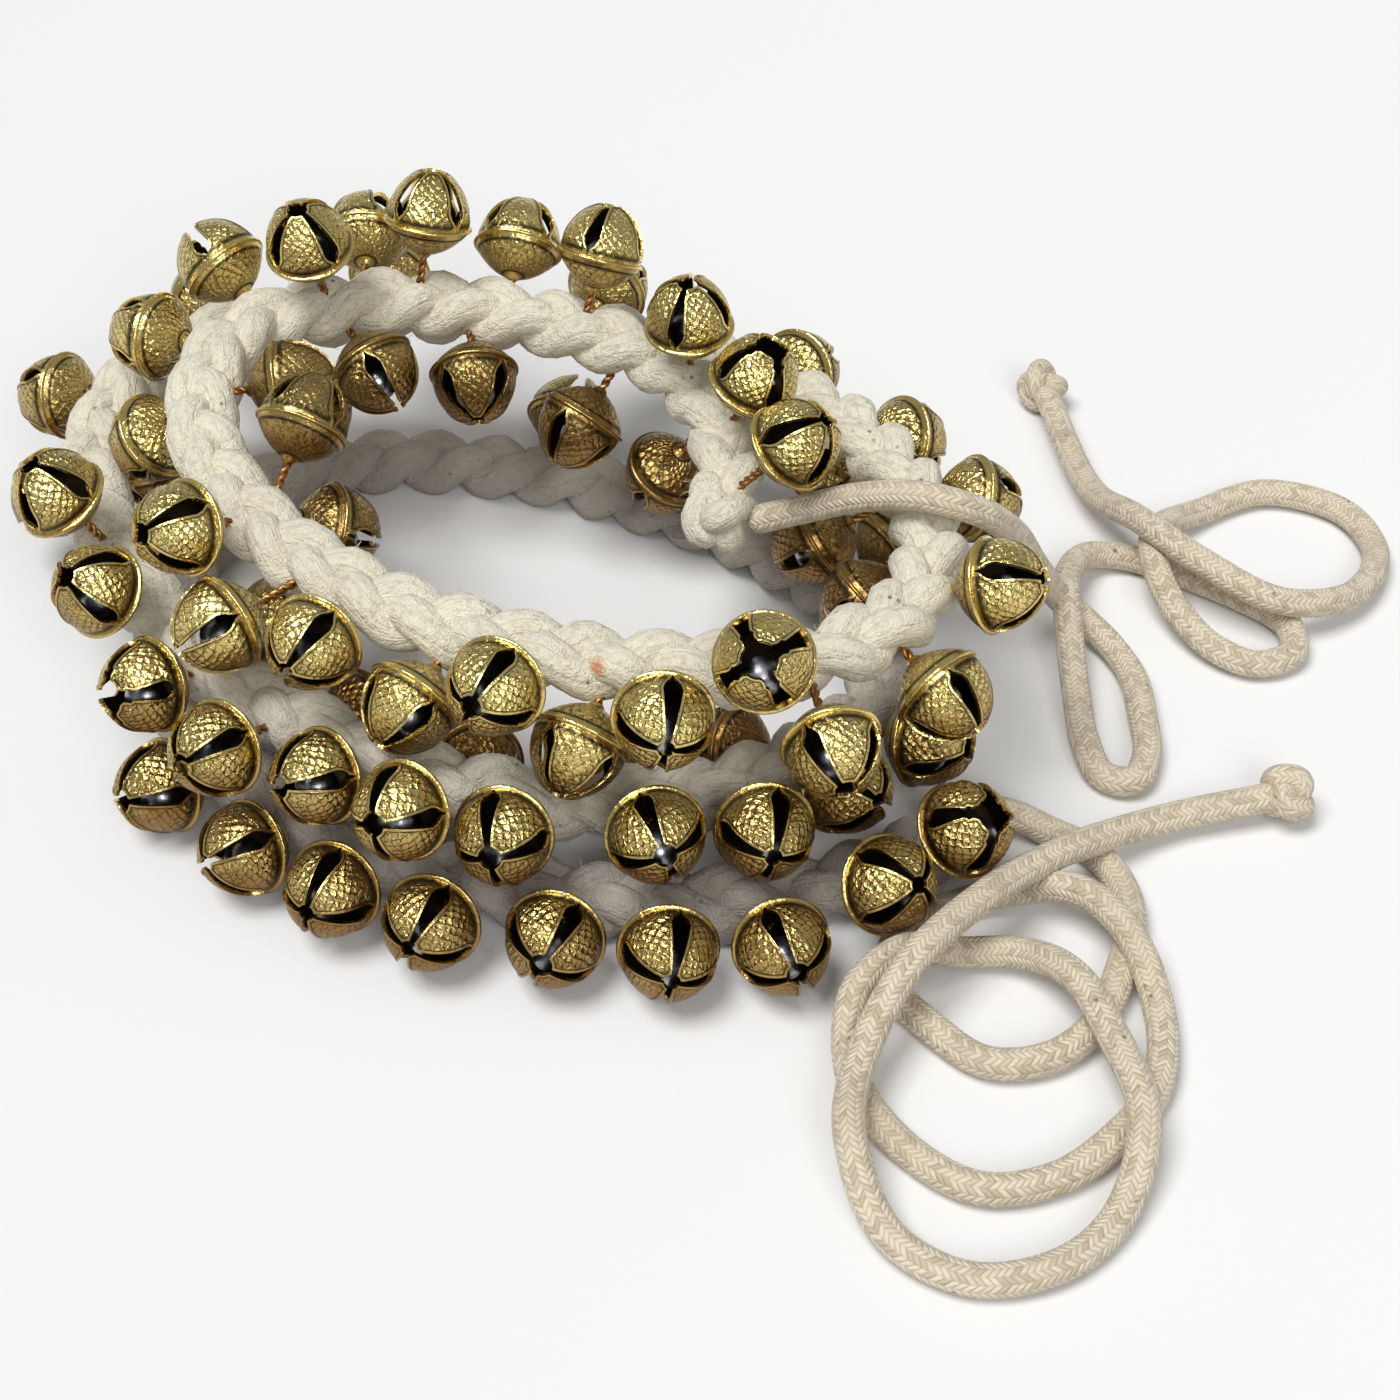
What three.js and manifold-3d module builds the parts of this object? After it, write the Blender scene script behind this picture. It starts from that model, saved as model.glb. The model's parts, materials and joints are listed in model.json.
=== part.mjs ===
// Ghungroo ankle bells: brass crotal bells wired to a plaited cotton strand that lies in a loose coil,
// with a tying cord at each end of the strand. Millimetres and degrees, Z up, the coil stands on Z = 0.
import * as THREE from 'three';
import { mergeVertices } from 'three/addons/utils/BufferGeometryUtils.js';
import Module from 'manifold-3d';

const wasm = await Module();
wasm.setup();

// Gap between pieces that touch on the real object, and the wider one under the foot of a bell
const CLEARANCE = 0.3;
const FOOT_CLEARANCE = 0.65;

// Plaited strand
const STRAND_WIDTH = 12;
const STRAND_HEIGHT = 11;
const STRAND_SIDES = 6;
const STEPS_PER_TURN = 24;
const BASE_FLAT = 0.5;

// Coil: a tilted oval whose reach from its middle and rise above the base turn are set
// at every quarter turn, in the order right, back, left, front
const OVAL_CENTRE = [-7, 9];
const OVAL_TILT = -29;
const REACHES = [32, 39, 63, 43, 72, 52, 88, 57, 66, 41, 70, 63, 90];
const RISES = [28, 36, 41, 35, 33, 28, 24, 15, 8, 0, 0, 0, 0];
const STRAND_START = 22;
const STRAND_END = 1064;
const FULL_TURN = 360;
const QUARTER = FULL_TURN / 4;

// Bell: wire shank, conical back, rim, rounded front with four petals
const SHANK_DIAMETER = 1.4;
const SHORT_SHANK = 1.5;
const MIDDLE_SHANK = 3;
const LONG_SHANK = 5.5;
const BACK_DEPTH = 5.5;
const RIM_DIAMETER = 17.2;
const RIM_THICKNESS = 1.1;
const BODY_DIAMETER = 16;
const FRONT_DEPTH = 9.2;
const BELL_WALL = 0.9;
const BELL_SIDES = 8;

// Where the front turns in to the petal tips, as shares of the body's radius and the front's depth
const SHOULDER_RADIUS = 0.8;
const SHOULDER_DEPTH = 0.6;

// Slots between the petals: they run from the rim to the mouth and narrow on the way
const PETALS = 4;
const SLOT_WIDTH = 3.4;
const SLOT_TIP_WIDTH = 1.4;
const MOUTH_WIDTH = 3.4;
const SLOT_TO_RIM = 1.2;

// Pellet that rattles in the bell: it lies in front of the rim, to the bell's lower side
const PELLET_DIAMETER = 6.4;
const PELLET_SEAT = 2.3;
const PELLET_OFFSET = 2.2;

// Tying cords
const CORD_DIAMETER = 5.2;
const CORD_SIDES = 8;
const CORD_STEP = 13;

// Knots at the strand's ends and at the free ends of the cords
const END_KNOT_WIDTH = 12.6;
const END_KNOT_LENGTH = 9;
const STOP_KNOT_WIDTH = 10.5;
const STOP_KNOT_LENGTH = 8;
const KNOT_SIDES = 10;

// Knot profile after its first face, as shares of the knot's radius and length
const KNOT_PROFILE = [[0.94, 0.25], [1, 0.55], [0.8, 0.88], [0.4, 1]];

// Route of the cord at the upper end of the strand
const UPPER_CORD_ROUTE = [
  [32.5, 3, 34], [40, 2, 37], [49.5, -2.5, 43], [59, -7.5, 47], [68, -8, 44.5], [75.5, -2, 35],
  [81, 5.5, 22], [86.5, 11, 10.5], [92, 11, 4.5], [96.5, 5.5, 3], [99.5, -3, 3], [100, -14, 3],
  [99.5, -24, 3], [96.3, -30.3, 3], [91.5, -29.3, 3], [89.2, -21, 3], [88.8, -8, 4], [88.5, 8, 9],
  [90.3, 21.5, 7], [95, 29.5, 4.5], [102, 31, 3], [112, 26, 3], [122.5, 18.8, 3], [129.7, 11.3, 3],
  [129.2, 3, 3], [122, 0.2, 3], [114.5, 4.2, 4], [108.5, 13, 6.5], [106, 23, 9], [108.5, 34.5, 7],
  [118, 44.5, 3], [132, 51, 3], [146, 45, 3], [150, 32, 3], [142, 17, 5], [127, 11, 9], [113, 18, 13],
  [103.5, 30, 13], [97.5, 46, 7], [92, 80, 5.5],
];

// Route of the cord at the lower end of the strand
const LOWER_CORD_ROUTE = [
  [68.8, -41.3, 6.3], [74, -40.3, 5], [81, -42.8, 3], [87, -47, 3], [91, -54, 3], [92, -63, 3],
  [89, -74, 3], [84, -85, 3], [76, -92, 3], [66, -93, 3], [58, -86, 3], [52, -77, 3], [54, -67, 3],
  [63, -60, 3], [74, -58, 5], [83, -62, 9], [90, -70, 8], [94, -82, 3], [92, -97, 3], [85, -107, 3],
  [75, -115, 3], [63, -117, 3], [52, -109, 3], [45, -96, 4], [46, -84, 9], [54, -75, 9], [64, -71, 4],
  [73, -72, 5], [80, -80, 9], [85, -93, 9], [88, -108, 8], [83, -122, 3], [73, -131, 3], [60, -133, 3],
  [49, -126, 4], [44, -113, 9], [46, -98, 9], [54, -83, 14], [66, -69, 14], [80, -55, 10], [99, -42, 5],
  [118, -37, 5.5],
];

// Bells along the strand: station along the coil, lift round the strand (0 outward, 90 up),
// lean along the strand, and spin of the petals about the bell's axis
const BELLS = [
  { at: 45, lift: 70, spin: 10 },
  { at: 70, lift: 94, lean: 6, spin: 35 },
  { at: 102, lift: 58, spin: 0 },
  { at: 116, lift: 32, lean: 4, spin: 50 },
  { at: 133, lift: 72, lean: -6, spin: 45, shank: MIDDLE_SHANK },
  { at: 144, lift: 20, lean: -8, spin: 20, shank: MIDDLE_SHANK },
  { at: 168, lift: 28, lean: 4, spin: 55 },
  { at: 183, lift: -6, spin: 85, shank: MIDDLE_SHANK },
  { at: 203, lift: -46, lean: -10, spin: 0 },
  { at: 239, lift: 24, lean: 6, spin: 65, shank: MIDDLE_SHANK },
  { at: 264, lift: 6, lean: 8, spin: 65 },
  { at: 280, lift: -20, lean: -10, spin: 40 },
  { at: 291, lift: 18, lean: -7, spin: 70, shank: MIDDLE_SHANK },
  { at: 302, lift: -31, lean: -16, spin: 30 },
  { at: 308, lift: 12, lean: 7, spin: 80, shank: MIDDLE_SHANK },
  { at: 326, lift: 44, lean: -16, spin: 20, shank: MIDDLE_SHANK, pellet: true },
  { at: 332, lift: -8, lean: -7, spin: 40, shank: LONG_SHANK },
  { at: 351, lift: -20, lean: -3, spin: 15, pellet: true },
  { at: 365, lift: 22, spin: 40, pellet: true },
  { at: 399, lift: -25, lean: -4, spin: 30 },
  { at: 417, lift: -30, lean: -4, spin: 5 },
  { at: 436, lift: -21, lean: 3, spin: 45 },
  { at: 464, lift: 2, spin: 60 },
  { at: 492, lift: -2, spin: 20 },
  { at: 517, lift: -7, spin: 75, shank: MIDDLE_SHANK },
  { at: 545, lift: -12, lean: 2, spin: 70 },
  { at: 561, lift: -46, lean: -3, spin: 20 },
  { at: 597, lift: 48, lean: 2, spin: 80 },
  { at: 609, lift: 19, spin: 30 },
  { at: 621, lift: 19, spin: 50, shank: LONG_SHANK },
  { at: 635, lift: 23, lean: -18, spin: 25 },
  { at: 656, lift: 21, lean: -5, spin: 15, shank: MIDDLE_SHANK },
  { at: 673, lift: 23, spin: 20, shank: MIDDLE_SHANK, pellet: true },
  { at: 691, lift: 17, lean: -21, spin: 70, shank: LONG_SHANK },
  { at: 699, lift: 20, spin: 40 },
  { at: 714, lift: 15, lean: 3, spin: 10 },
  { at: 768, lift: 19, spin: 50 },
  { at: 829, lift: 19, spin: 15 },
  { at: 967, lift: 17, lean: 6, spin: 25 },
  { at: 985, lift: 17, lean: -10, spin: 45 },
  { at: 994, lift: 18, lean: 4, spin: 85, shank: MIDDLE_SHANK, pellet: true },
  { at: 1005, lift: 17, spin: 70, shank: MIDDLE_SHANK },
  { at: 1017, lift: 18, lean: -2, spin: 60 },
  { at: 1027, lift: 16, lean: 5, spin: 75, shank: MIDDLE_SHANK },
  { at: 1038, lift: 16, lean: 6, spin: 20, shank: MIDDLE_SHANK },
  { at: 1049, lift: 40, lean: 14, spin: 35 },
  { at: 1061, lift: 52, lean: 10, spin: 60, pellet: true },
];

const cotton = new THREE.MeshStandardMaterial({ color: 0xd8cfc0, roughness: 0.95, metalness: 0 });
const cordCotton = new THREE.MeshStandardMaterial({ color: 0xdccfb0, roughness: 0.92, metalness: 0 });
const brass = new THREE.MeshStandardMaterial({ color: 0xa98b3e, roughness: 0.38, metalness: 1 });
const steel = new THREE.MeshStandardMaterial({ color: 0x4a4c50, roughness: 0.3, metalness: 1 });

const radians = THREE.MathUtils.degToRad;

// Centre line of the coil

const baseHeight = STRAND_HEIGHT / 2 - BASE_FLAT;
const longAxis = new THREE.Vector3(Math.cos(radians(OVAL_TILT)), Math.sin(radians(OVAL_TILT)), 0);
const shortAxis = new THREE.Vector3(-longAxis.y, longAxis.x, 0);

// Smooth cubic through the values set at the quarter turns
function throughQuarters(values, station) {
  const last = values.length - 1;
  const i = THREE.MathUtils.clamp(Math.floor(station / QUARTER), 0, last - 1);
  const u = station / QUARTER - i;
  const before = values[Math.max(i - 1, 0)];
  const after = values[Math.min(i + 2, last)];
  const leave = (values[i + 1] - before) / 2;
  const arrive = (after - values[i]) / 2;
  const change = values[i + 1] - values[i];
  return values[i] + leave * u + (3 * change - 2 * leave - arrive) * u ** 2
    + (leave + arrive - 2 * change) * u ** 3;
}

// Quarter-ellipse arcs that share a tangent where they meet
function coilPoint(station) {
  const quarter = THREE.MathUtils.clamp(Math.floor(station / QUARTER), 0, REACHES.length - 2);
  const [first, second] = [REACHES[quarter], REACHES[quarter + 1]];
  const [long, short] = quarter % 2 === 0 ? [first, second] : [second, first];
  const angle = radians(station);
  return new THREE.Vector3(...OVAL_CENTRE, 0)
    .addScaledVector(longAxis, long * Math.cos(angle))
    .addScaledVector(shortAxis, short * Math.sin(angle))
    .setZ(baseHeight + Math.max(throughQuarters(RISES, station), 0));
}

// Centre, tangent, outward and upward directions of the strand at a station
function coilFrame(station) {
  const along = coilPoint(station + 0.5).sub(coilPoint(station - 0.5)).normalize();
  const out = new THREE.Vector3(along.y, -along.x, 0).normalize();
  const up = new THREE.Vector3().crossVectors(out, along);
  return { centre: coilPoint(station), along, out, up };
}

// Strand: one unbroken loft along the coil, flat where the base turn stands

const strandSteps = Math.round((STRAND_END - STRAND_START) / FULL_TURN * STEPS_PER_TURN);
const strandRings = Array.from({ length: strandSteps + 1 }, (_, i) =>
  coilFrame(STRAND_START + (STRAND_END - STRAND_START) * i / strandSteps));

// Corners of the strand's section, with flats above and below
const sectionCorners = Array.from({ length: STRAND_SIDES }, (_, k) => {
  const angle = 2 * Math.PI * k / STRAND_SIDES;
  const flatAngle = Math.PI / 2 - Math.PI / STRAND_SIDES;
  return new THREE.Vector2(
    STRAND_WIDTH / 2 * Math.cos(angle),
    STRAND_HEIGHT / 2 * Math.sin(angle) / Math.sin(flatAngle),
  );
});

// A point of the strand's surface, a share of the way from one corner to the next
function surfacePoint(ring, corner, share = 0) {
  const flat = sectionCorners[corner % STRAND_SIDES].clone()
    .lerp(sectionCorners[(corner + 1) % STRAND_SIDES], share);
  const point = ring.centre.clone().addScaledVector(ring.out, flat.x).addScaledVector(ring.up, flat.y);
  return point.setZ(Math.max(point.z, 0));
}

function strandGeometry() {
  const corners = strandRings.flatMap((ring) => sectionCorners.map((_, k) => surfacePoint(ring, k)));
  const index = [];
  for (let i = 0; i < strandSteps; i += 1) {
    for (let k = 0; k < STRAND_SIDES; k += 1) {
      const a = i * STRAND_SIDES + k;
      const b = i * STRAND_SIDES + (k + 1) % STRAND_SIDES;
      index.push(a, a + STRAND_SIDES, b, b, a + STRAND_SIDES, b + STRAND_SIDES);
    }
  }
  const lastRing = strandSteps * STRAND_SIDES;
  for (let k = 1; k < STRAND_SIDES - 1; k += 1) {
    index.push(0, k, k + 1);
    index.push(lastRing, lastRing + k + 1, lastRing + k);
  }
  const geometry = new THREE.BufferGeometry().setFromPoints(corners);
  geometry.setIndex(index);
  return geometry;
}

// Least distance between parts of the coil that are half a turn or more apart
function leastGap() {
  const shares = [0, 0.25, 0.5, 0.75];
  const points = strandRings.map((ring) => sectionCorners.flatMap((_, k) =>
    shares.map((share) => surfacePoint(ring, k, share))));
  let least = Infinity;
  for (let i = 0; i < points.length; i += 1) {
    for (let j = i + STEPS_PER_TURN / 2; j < points.length; j += 1) {
      if (strandRings[i].centre.distanceTo(strandRings[j].centre) > 2 * STRAND_WIDTH) continue;
      for (const p of points[i]) {
        for (const q of points[j]) least = Math.min(least, p.distanceTo(q));
      }
    }
  }
  return least;
}

// Frame on the straight stretch between two rings of the loft
function strandFrame(station) {
  const place = (station - STRAND_START) / (STRAND_END - STRAND_START) * strandSteps;
  const i = THREE.MathUtils.clamp(Math.floor(place), 0, strandSteps - 1);
  const share = place - i;
  const blend = (key) => strandRings[i][key].clone().lerp(strandRings[i + 1][key], share);
  return { centre: blend('centre'), along: blend('along'), out: blend('out'), up: blend('up') };
}

// Distance from the strand's centre to its surface at a lift angle
function surfaceReach(lift) {
  const ray = new THREE.Vector2(Math.cos(radians(lift)), Math.sin(radians(lift)));
  const crossings = sectionCorners.map((a, k) => {
    const side = sectionCorners[(k + 1) % STRAND_SIDES].clone().sub(a);
    return a.cross(side) / ray.cross(side);
  });
  return Math.min(...crossings.filter((distance) => distance > 0));
}

// Solids from closed geometry, and back

function toSolid(geometry) {
  const bare = geometry.clone();
  bare.deleteAttribute('normal');
  bare.deleteAttribute('uv');
  const merged = mergeVertices(bare, 1e-4);
  return new wasm.Manifold(new wasm.Mesh({
    numProp: 3,
    vertProperties: merged.attributes.position.array,
    triVerts: new Uint32Array(merged.index.array),
  }));
}

function toGeometry(solid) {
  const mesh = solid.getMesh();
  const geometry = new THREE.BufferGeometry();
  geometry.setAttribute('position', new THREE.BufferAttribute(new Float32Array(mesh.vertProperties), 3));
  geometry.setIndex(new THREE.BufferAttribute(new Uint32Array(mesh.triVerts), 1));
  return geometry;
}

// Closed solid of revolution about Z from (radius, height) pairs that start and end on the axis
function turned(profile, sides) {
  const points = profile.map(([radius, height]) => new THREE.Vector2(radius, height));
  const geometry = new THREE.LatheGeometry(points, sides, Math.PI / sides);
  geometry.rotateX(Math.PI / 2);
  return geometry;
}

// Bell

// Outline of the slots and the mouth where they meet
function slotShape() {
  const reach = RIM_DIAMETER;
  const reachWidth = SLOT_WIDTH * reach / (BODY_DIAMETER / 2);
  const arm = [
    new THREE.Vector2(MOUTH_WIDTH / 2, -SLOT_TIP_WIDTH / 2),
    new THREE.Vector2(reach, -reachWidth / 2),
    new THREE.Vector2(reach, reachWidth / 2),
    new THREE.Vector2(MOUTH_WIDTH / 2, SLOT_TIP_WIDTH / 2),
  ];
  const middle = new THREE.Vector2();
  const outline = Array.from({ length: PETALS }, (_, k) =>
    arm.map((corner) => corner.clone().rotateAround(middle, 2 * Math.PI * k / PETALS)));
  return new THREE.Shape(outline.flat());
}

// Bell on a shank of the given length, its foot at the origin and its mouth along Z
function bellGeometry(shank) {
  const rim = shank + BACK_DEPTH;
  const front = rim + RIM_THICKNESS;
  const mouth = front + FRONT_DEPTH;
  const shoulder = front + FRONT_DEPTH * SHOULDER_DEPTH;
  const body = BODY_DIAMETER / 2;
  const inner = body - BELL_WALL;
  const outside = turned([
    [0, 0],
    [SHANK_DIAMETER / 2, 0],
    [SHANK_DIAMETER / 2, shank],
    [RIM_DIAMETER / 2, rim],
    [RIM_DIAMETER / 2, front],
    [body, front],
    [body * SHOULDER_RADIUS, shoulder],
    [0, mouth],
  ], BELL_SIDES);
  const hollow = turned([
    [0, shank + 2 * BELL_WALL],
    [inner, front],
    [inner * SHOULDER_RADIUS, shoulder],
    [0, mouth - BELL_WALL],
  ], BELL_SIDES);
  const slots = new THREE.ExtrudeGeometry(slotShape(), { depth: FRONT_DEPTH, bevelEnabled: false });
  slots.translate(0, 0, front + SLOT_TO_RIM);
  return toGeometry(toSolid(outside).subtract(toSolid(hollow)).subtract(toSolid(slots)));
}

// Cords and knots

function vectorOf(point) {
  return new THREE.Vector3(...point);
}

function cordGeometry(route) {
  const path = new THREE.CatmullRomCurve3(route.map(vectorOf), false, 'centripetal');
  const rim = Array.from({ length: CORD_SIDES }, (_, k) => {
    const angle = 2 * Math.PI * (k + 0.5) / CORD_SIDES;
    return new THREE.Vector2(CORD_DIAMETER / 2 * Math.cos(angle), CORD_DIAMETER / 2 * Math.sin(angle));
  });
  const steps = Math.round(path.getLength() / CORD_STEP);
  console.log(`Cord of ${Math.round(path.getLength())} mm in ${steps} steps`);
  return new THREE.ExtrudeGeometry(new THREE.Shape(rim), { steps, bevelEnabled: false, extrudePath: path });
}

// Rounded lump about Z with a flat face at each end
function knotGeometry(width, length, faceWidth) {
  const sides = KNOT_PROFILE.map(([radius, height]) => [radius * width / 2, height * length]);
  return turned([[0, 0], [faceWidth / 2, 0], ...sides, [0, length]], KNOT_SIDES);
}

// Assembly

const part = new THREE.Group();
const upright = new THREE.Vector3(0, 0, 1);

function addMesh(parent, name, geometry, material) {
  const mesh = new THREE.Mesh(geometry, material);
  mesh.name = name;
  parent.add(mesh);
  return mesh;
}

addMesh(part, 'strand', strandGeometry(), cotton);
console.log(`Least gap of the coil to itself: ${leastGap().toFixed(2)} mm`);

// Knots that bind the strand's two ends, and the cords that leave them

function addEndKnot(name, ring, direction) {
  const knot = addMesh(part, name, knotGeometry(END_KNOT_WIDTH, END_KNOT_LENGTH, STRAND_WIDTH), cotton);
  knot.quaternion.setFromUnitVectors(upright, direction);
  knot.position.copy(ring.centre).addScaledVector(direction, CLEARANCE);
  knot.position.z = Math.max(knot.position.z, END_KNOT_WIDTH / 2);
}

addEndKnot('upper_end_knot', strandRings[0], strandRings[0].along.clone().negate());
addEndKnot('lower_end_knot', strandRings[strandSteps], strandRings[strandSteps].along.clone());

function addCord(name, route) {
  addMesh(part, name, cordGeometry(route), cordCotton);
  const end = vectorOf(route[route.length - 1]);
  const direction = end.clone().sub(vectorOf(route[route.length - 2])).normalize();
  const lump = knotGeometry(STOP_KNOT_WIDTH, STOP_KNOT_LENGTH, CORD_DIAMETER);
  const knot = addMesh(part, `${name}_knot`, lump, cordCotton);
  knot.quaternion.setFromUnitVectors(upright, direction);
  knot.position.copy(end).addScaledVector(direction, CLEARANCE);
}

addCord('upper_cord', UPPER_CORD_ROUTE);
addCord('lower_cord', LOWER_CORD_ROUTE);

// Bells, each in a group at its foot with X along the strand and Z along the bell

const bellShapes = new Map();
function bellShape(shank) {
  if (!bellShapes.has(shank)) bellShapes.set(shank, bellGeometry(shank));
  return bellShapes.get(shank);
}

BELLS.forEach(({ at, lift, spin, lean = 0, shank = SHORT_SHANK, pellet = false }, i) => {
  const number = String(i + 1).padStart(2, '0');
  const { centre, along, out, up } = strandFrame(at);
  const sideways = out.clone().multiplyScalar(Math.cos(radians(lift)))
    .addScaledVector(up, Math.sin(radians(lift)));
  const axis = sideways.clone().multiplyScalar(Math.cos(radians(lean)))
    .addScaledVector(along, Math.sin(radians(lean))).normalize();
  const across = along.clone().addScaledVector(axis, -along.dot(axis)).normalize();
  const seat = new THREE.Group();
  const foot = (surfaceReach(lift) + FOOT_CLEARANCE) / Math.cos(radians(lean));
  seat.position.copy(centre).addScaledVector(axis, foot);
  seat.setRotationFromMatrix(new THREE.Matrix4().makeBasis(
    across, new THREE.Vector3().crossVectors(axis, across), axis));
  part.add(seat);
  addMesh(seat, `bell_${number}`, bellShape(shank), brass).rotation.z = radians(spin);
  if (pellet) {
    const round = new THREE.IcosahedronGeometry(PELLET_DIAMETER / 2, 1);
    const ball = addMesh(seat, `pellet_${number}`, round, steel);
    const down = upright.clone().negate().applyQuaternion(seat.quaternion.clone().invert()).setZ(0);
    ball.position.copy(down.setLength(PELLET_OFFSET)).setZ(shank + BACK_DEPTH + PELLET_SEAT);
  }
});

// The origin is at the middle of the coil and its bells, on the surface that they stand on
const cords = /cord/;
part.updateMatrixWorld(true);
const box = new THREE.Box3();
part.traverse((node) => {
  if (node.isMesh && !cords.test(node.name)) box.expandByObject(node, true);
});
part.position.set(-(box.min.x + box.max.x) / 2, -(box.min.y + box.max.y) / 2, 0);

export default part;
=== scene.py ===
"""Ghungroo ankle bells: brass pellet bells wired to a plaited cotton coil.

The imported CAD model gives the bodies, the joints and the places. This script makes the
visual model on it, with the camera at the photograph's angle and a plain studio.
Lengths in the tables are in millimetres, as in the CAD source.
"""

import json
import logging
import math
import random
from dataclasses import dataclass, field
from enum import Enum
from itertools import pairwise
from typing import Callable

import bpy
from mathutils import Matrix, Vector, noise
from mathutils.kdtree import KDTree


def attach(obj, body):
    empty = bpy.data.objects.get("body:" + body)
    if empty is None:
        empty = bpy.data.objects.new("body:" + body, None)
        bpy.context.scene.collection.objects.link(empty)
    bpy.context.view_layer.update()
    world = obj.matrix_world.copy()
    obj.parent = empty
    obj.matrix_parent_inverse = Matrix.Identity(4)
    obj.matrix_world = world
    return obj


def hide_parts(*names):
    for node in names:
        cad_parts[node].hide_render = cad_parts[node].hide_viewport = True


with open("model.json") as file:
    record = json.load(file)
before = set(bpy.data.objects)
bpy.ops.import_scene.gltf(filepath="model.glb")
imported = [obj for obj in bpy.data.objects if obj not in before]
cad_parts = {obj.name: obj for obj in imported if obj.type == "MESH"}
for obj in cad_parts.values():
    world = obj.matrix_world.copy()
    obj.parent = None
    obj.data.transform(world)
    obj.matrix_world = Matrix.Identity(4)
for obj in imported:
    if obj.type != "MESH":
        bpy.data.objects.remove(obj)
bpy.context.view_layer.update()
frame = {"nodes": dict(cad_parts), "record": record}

log = logging.getLogger("ghungroo")
Colour = tuple[float, float, float, float]
MM = 0.001
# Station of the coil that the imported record's base mount marks
BASE_STATION = 990.0
QUARTER_TURN = 90.0
# Lifts between which a bell hangs inside the coil
INSIDE_LIFT = (120, 260)
# How far a shank's foot stands off the CAD strand
FOOT_GAP = 0.65
# Depth of the puffs in soft cotton, each with its rate per millimetre
PUFFS = ((0.28, 0.4), (0.2, 1.0))


class Slot(Enum):
    """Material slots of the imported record."""

    PLAIT = "plait"
    CORD = "cord"
    BELL = "bell"
    PELLET = "pellet"


class Shank(Enum):
    """Lengths of the wire between the plait and a bell."""

    SHORT = 1.5
    MIDDLE = 3.0
    LONG = 5.5


class Mouth(Enum):
    """Radii of the opening between the tips of a bell's petals."""

    OPEN = 3.0
    USUAL = 1.9
    SHUT = 1.4


# Node trees


@dataclass
class NodeSheet:
    """Short-hand for filling one node tree."""

    tree: bpy.types.NodeTree

    def fill(self, node: bpy.types.Node, inputs: dict) -> None:
        """Sets a node's inputs.

        Args:
            node: The node.
            inputs: Values or sockets by the input's name or number.
        """
        for key, value in inputs.items():
            if isinstance(value, bpy.types.NodeSocket):
                self.tree.links.new(value, node.inputs[key])
            else:
                node.inputs[key].default_value = value

    def add(self, kind: str, inputs: dict | None = None, **settings: object) -> bpy.types.Node:
        """Adds a node.

        Args:
            kind: The node's type name.
            inputs: Values or sockets by the input's name or number.
            settings: Properties of the node.

        Returns:
            The new node.
        """
        node = self.tree.nodes.new(kind)
        for key, value in settings.items():
            setattr(node, key, value)
        self.fill(node, inputs or {})
        return node

    def group(self, make: Callable[[], bpy.types.NodeTree], name: str,
              inputs: dict) -> bpy.types.bpy_prop_collection:
        """Places a node group.

        Args:
            make: Makes the group, if it isn't there yet.
            name: The group's name.
            inputs: Values or sockets by the input's name.

        Returns:
            The group's outputs.
        """
        tree = bpy.data.node_groups.get(name) or make()
        return self.add("ShaderNodeGroup", inputs, node_tree=tree).outputs

    def math(self, operation: str, *values: object) -> bpy.types.NodeSocket:
        """Adds a Math node and returns its value."""
        node = self.add("ShaderNodeMath", dict(enumerate(values)), operation=operation)
        return node.outputs[0]

    def times(self, first: object, second: object) -> bpy.types.NodeSocket:
        """Multiplies two values and returns the product."""
        return self.math("MULTIPLY", first, second)

    def flip(self, value: object) -> bpy.types.NodeSocket:
        """Takes a value from one and returns what is left."""
        return self.math("SUBTRACT", 1.0, value)

    def weighted(self, *terms: tuple[object, float]) -> bpy.types.NodeSocket:
        """Adds up values.

        Args:
            terms: Each value with its weight.

        Returns:
            The sum.
        """
        total = self.times(*terms[0])
        for value, weight in terms[1:]:
            total = self.math("MULTIPLY_ADD", value, weight, total)
        return total

    def smooth(self, value: object, low: float, high: float) -> bpy.types.NodeSocket:
        """Adds a smooth step from 0 at low to 1 at high and returns it."""
        node = self.add("ShaderNodeMapRange", {"Value": value, "From Min": low, "From Max": high},
                        interpolation_type="SMOOTHSTEP")
        return node.outputs["Result"]

    def span(self, value: object, low: float, high: float) -> bpy.types.NodeSocket:
        """Spreads a value from 0..1 over low..high and returns it."""
        node = self.add("ShaderNodeMapRange", {"Value": value, "To Min": low, "To Max": high})
        return node.outputs["Result"]

    def mix(self, factor: object, first: object, second: object) -> bpy.types.NodeSocket:
        """Mixes two colours and returns the colour."""
        return self.add("ShaderNodeMix", {0: factor, 6: first, 7: second}, data_type="RGBA").outputs[2]

    def layered(self, base: Colour, *layers: tuple[object, float, Colour]) -> bpy.types.NodeSocket:
        """Lays colours over a base colour.

        Args:
            base: The lowest colour.
            layers: Each layer's mask, its full share and its colour, from below.

        Returns:
            The colour that shows.
        """
        tone: object = base
        for mask, share, colour in layers:
            tone = self.mix(self.times(mask, share), tone, colour)
        return tone

    def part(self, vector: object, axis: str) -> bpy.types.NodeSocket:
        """Returns one component of a vector."""
        return self.add("ShaderNodeSeparateXYZ", {0: vector}).outputs[axis]

    def noise(self, vector: object, scale: float, detail: float = 3.0) -> bpy.types.NodeSocket:
        """Adds a noise texture and returns its value."""
        node = self.add("ShaderNodeTexNoise", {"Vector": vector, "Scale": scale, "Detail": detail})
        return node.outputs["Fac"]


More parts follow.
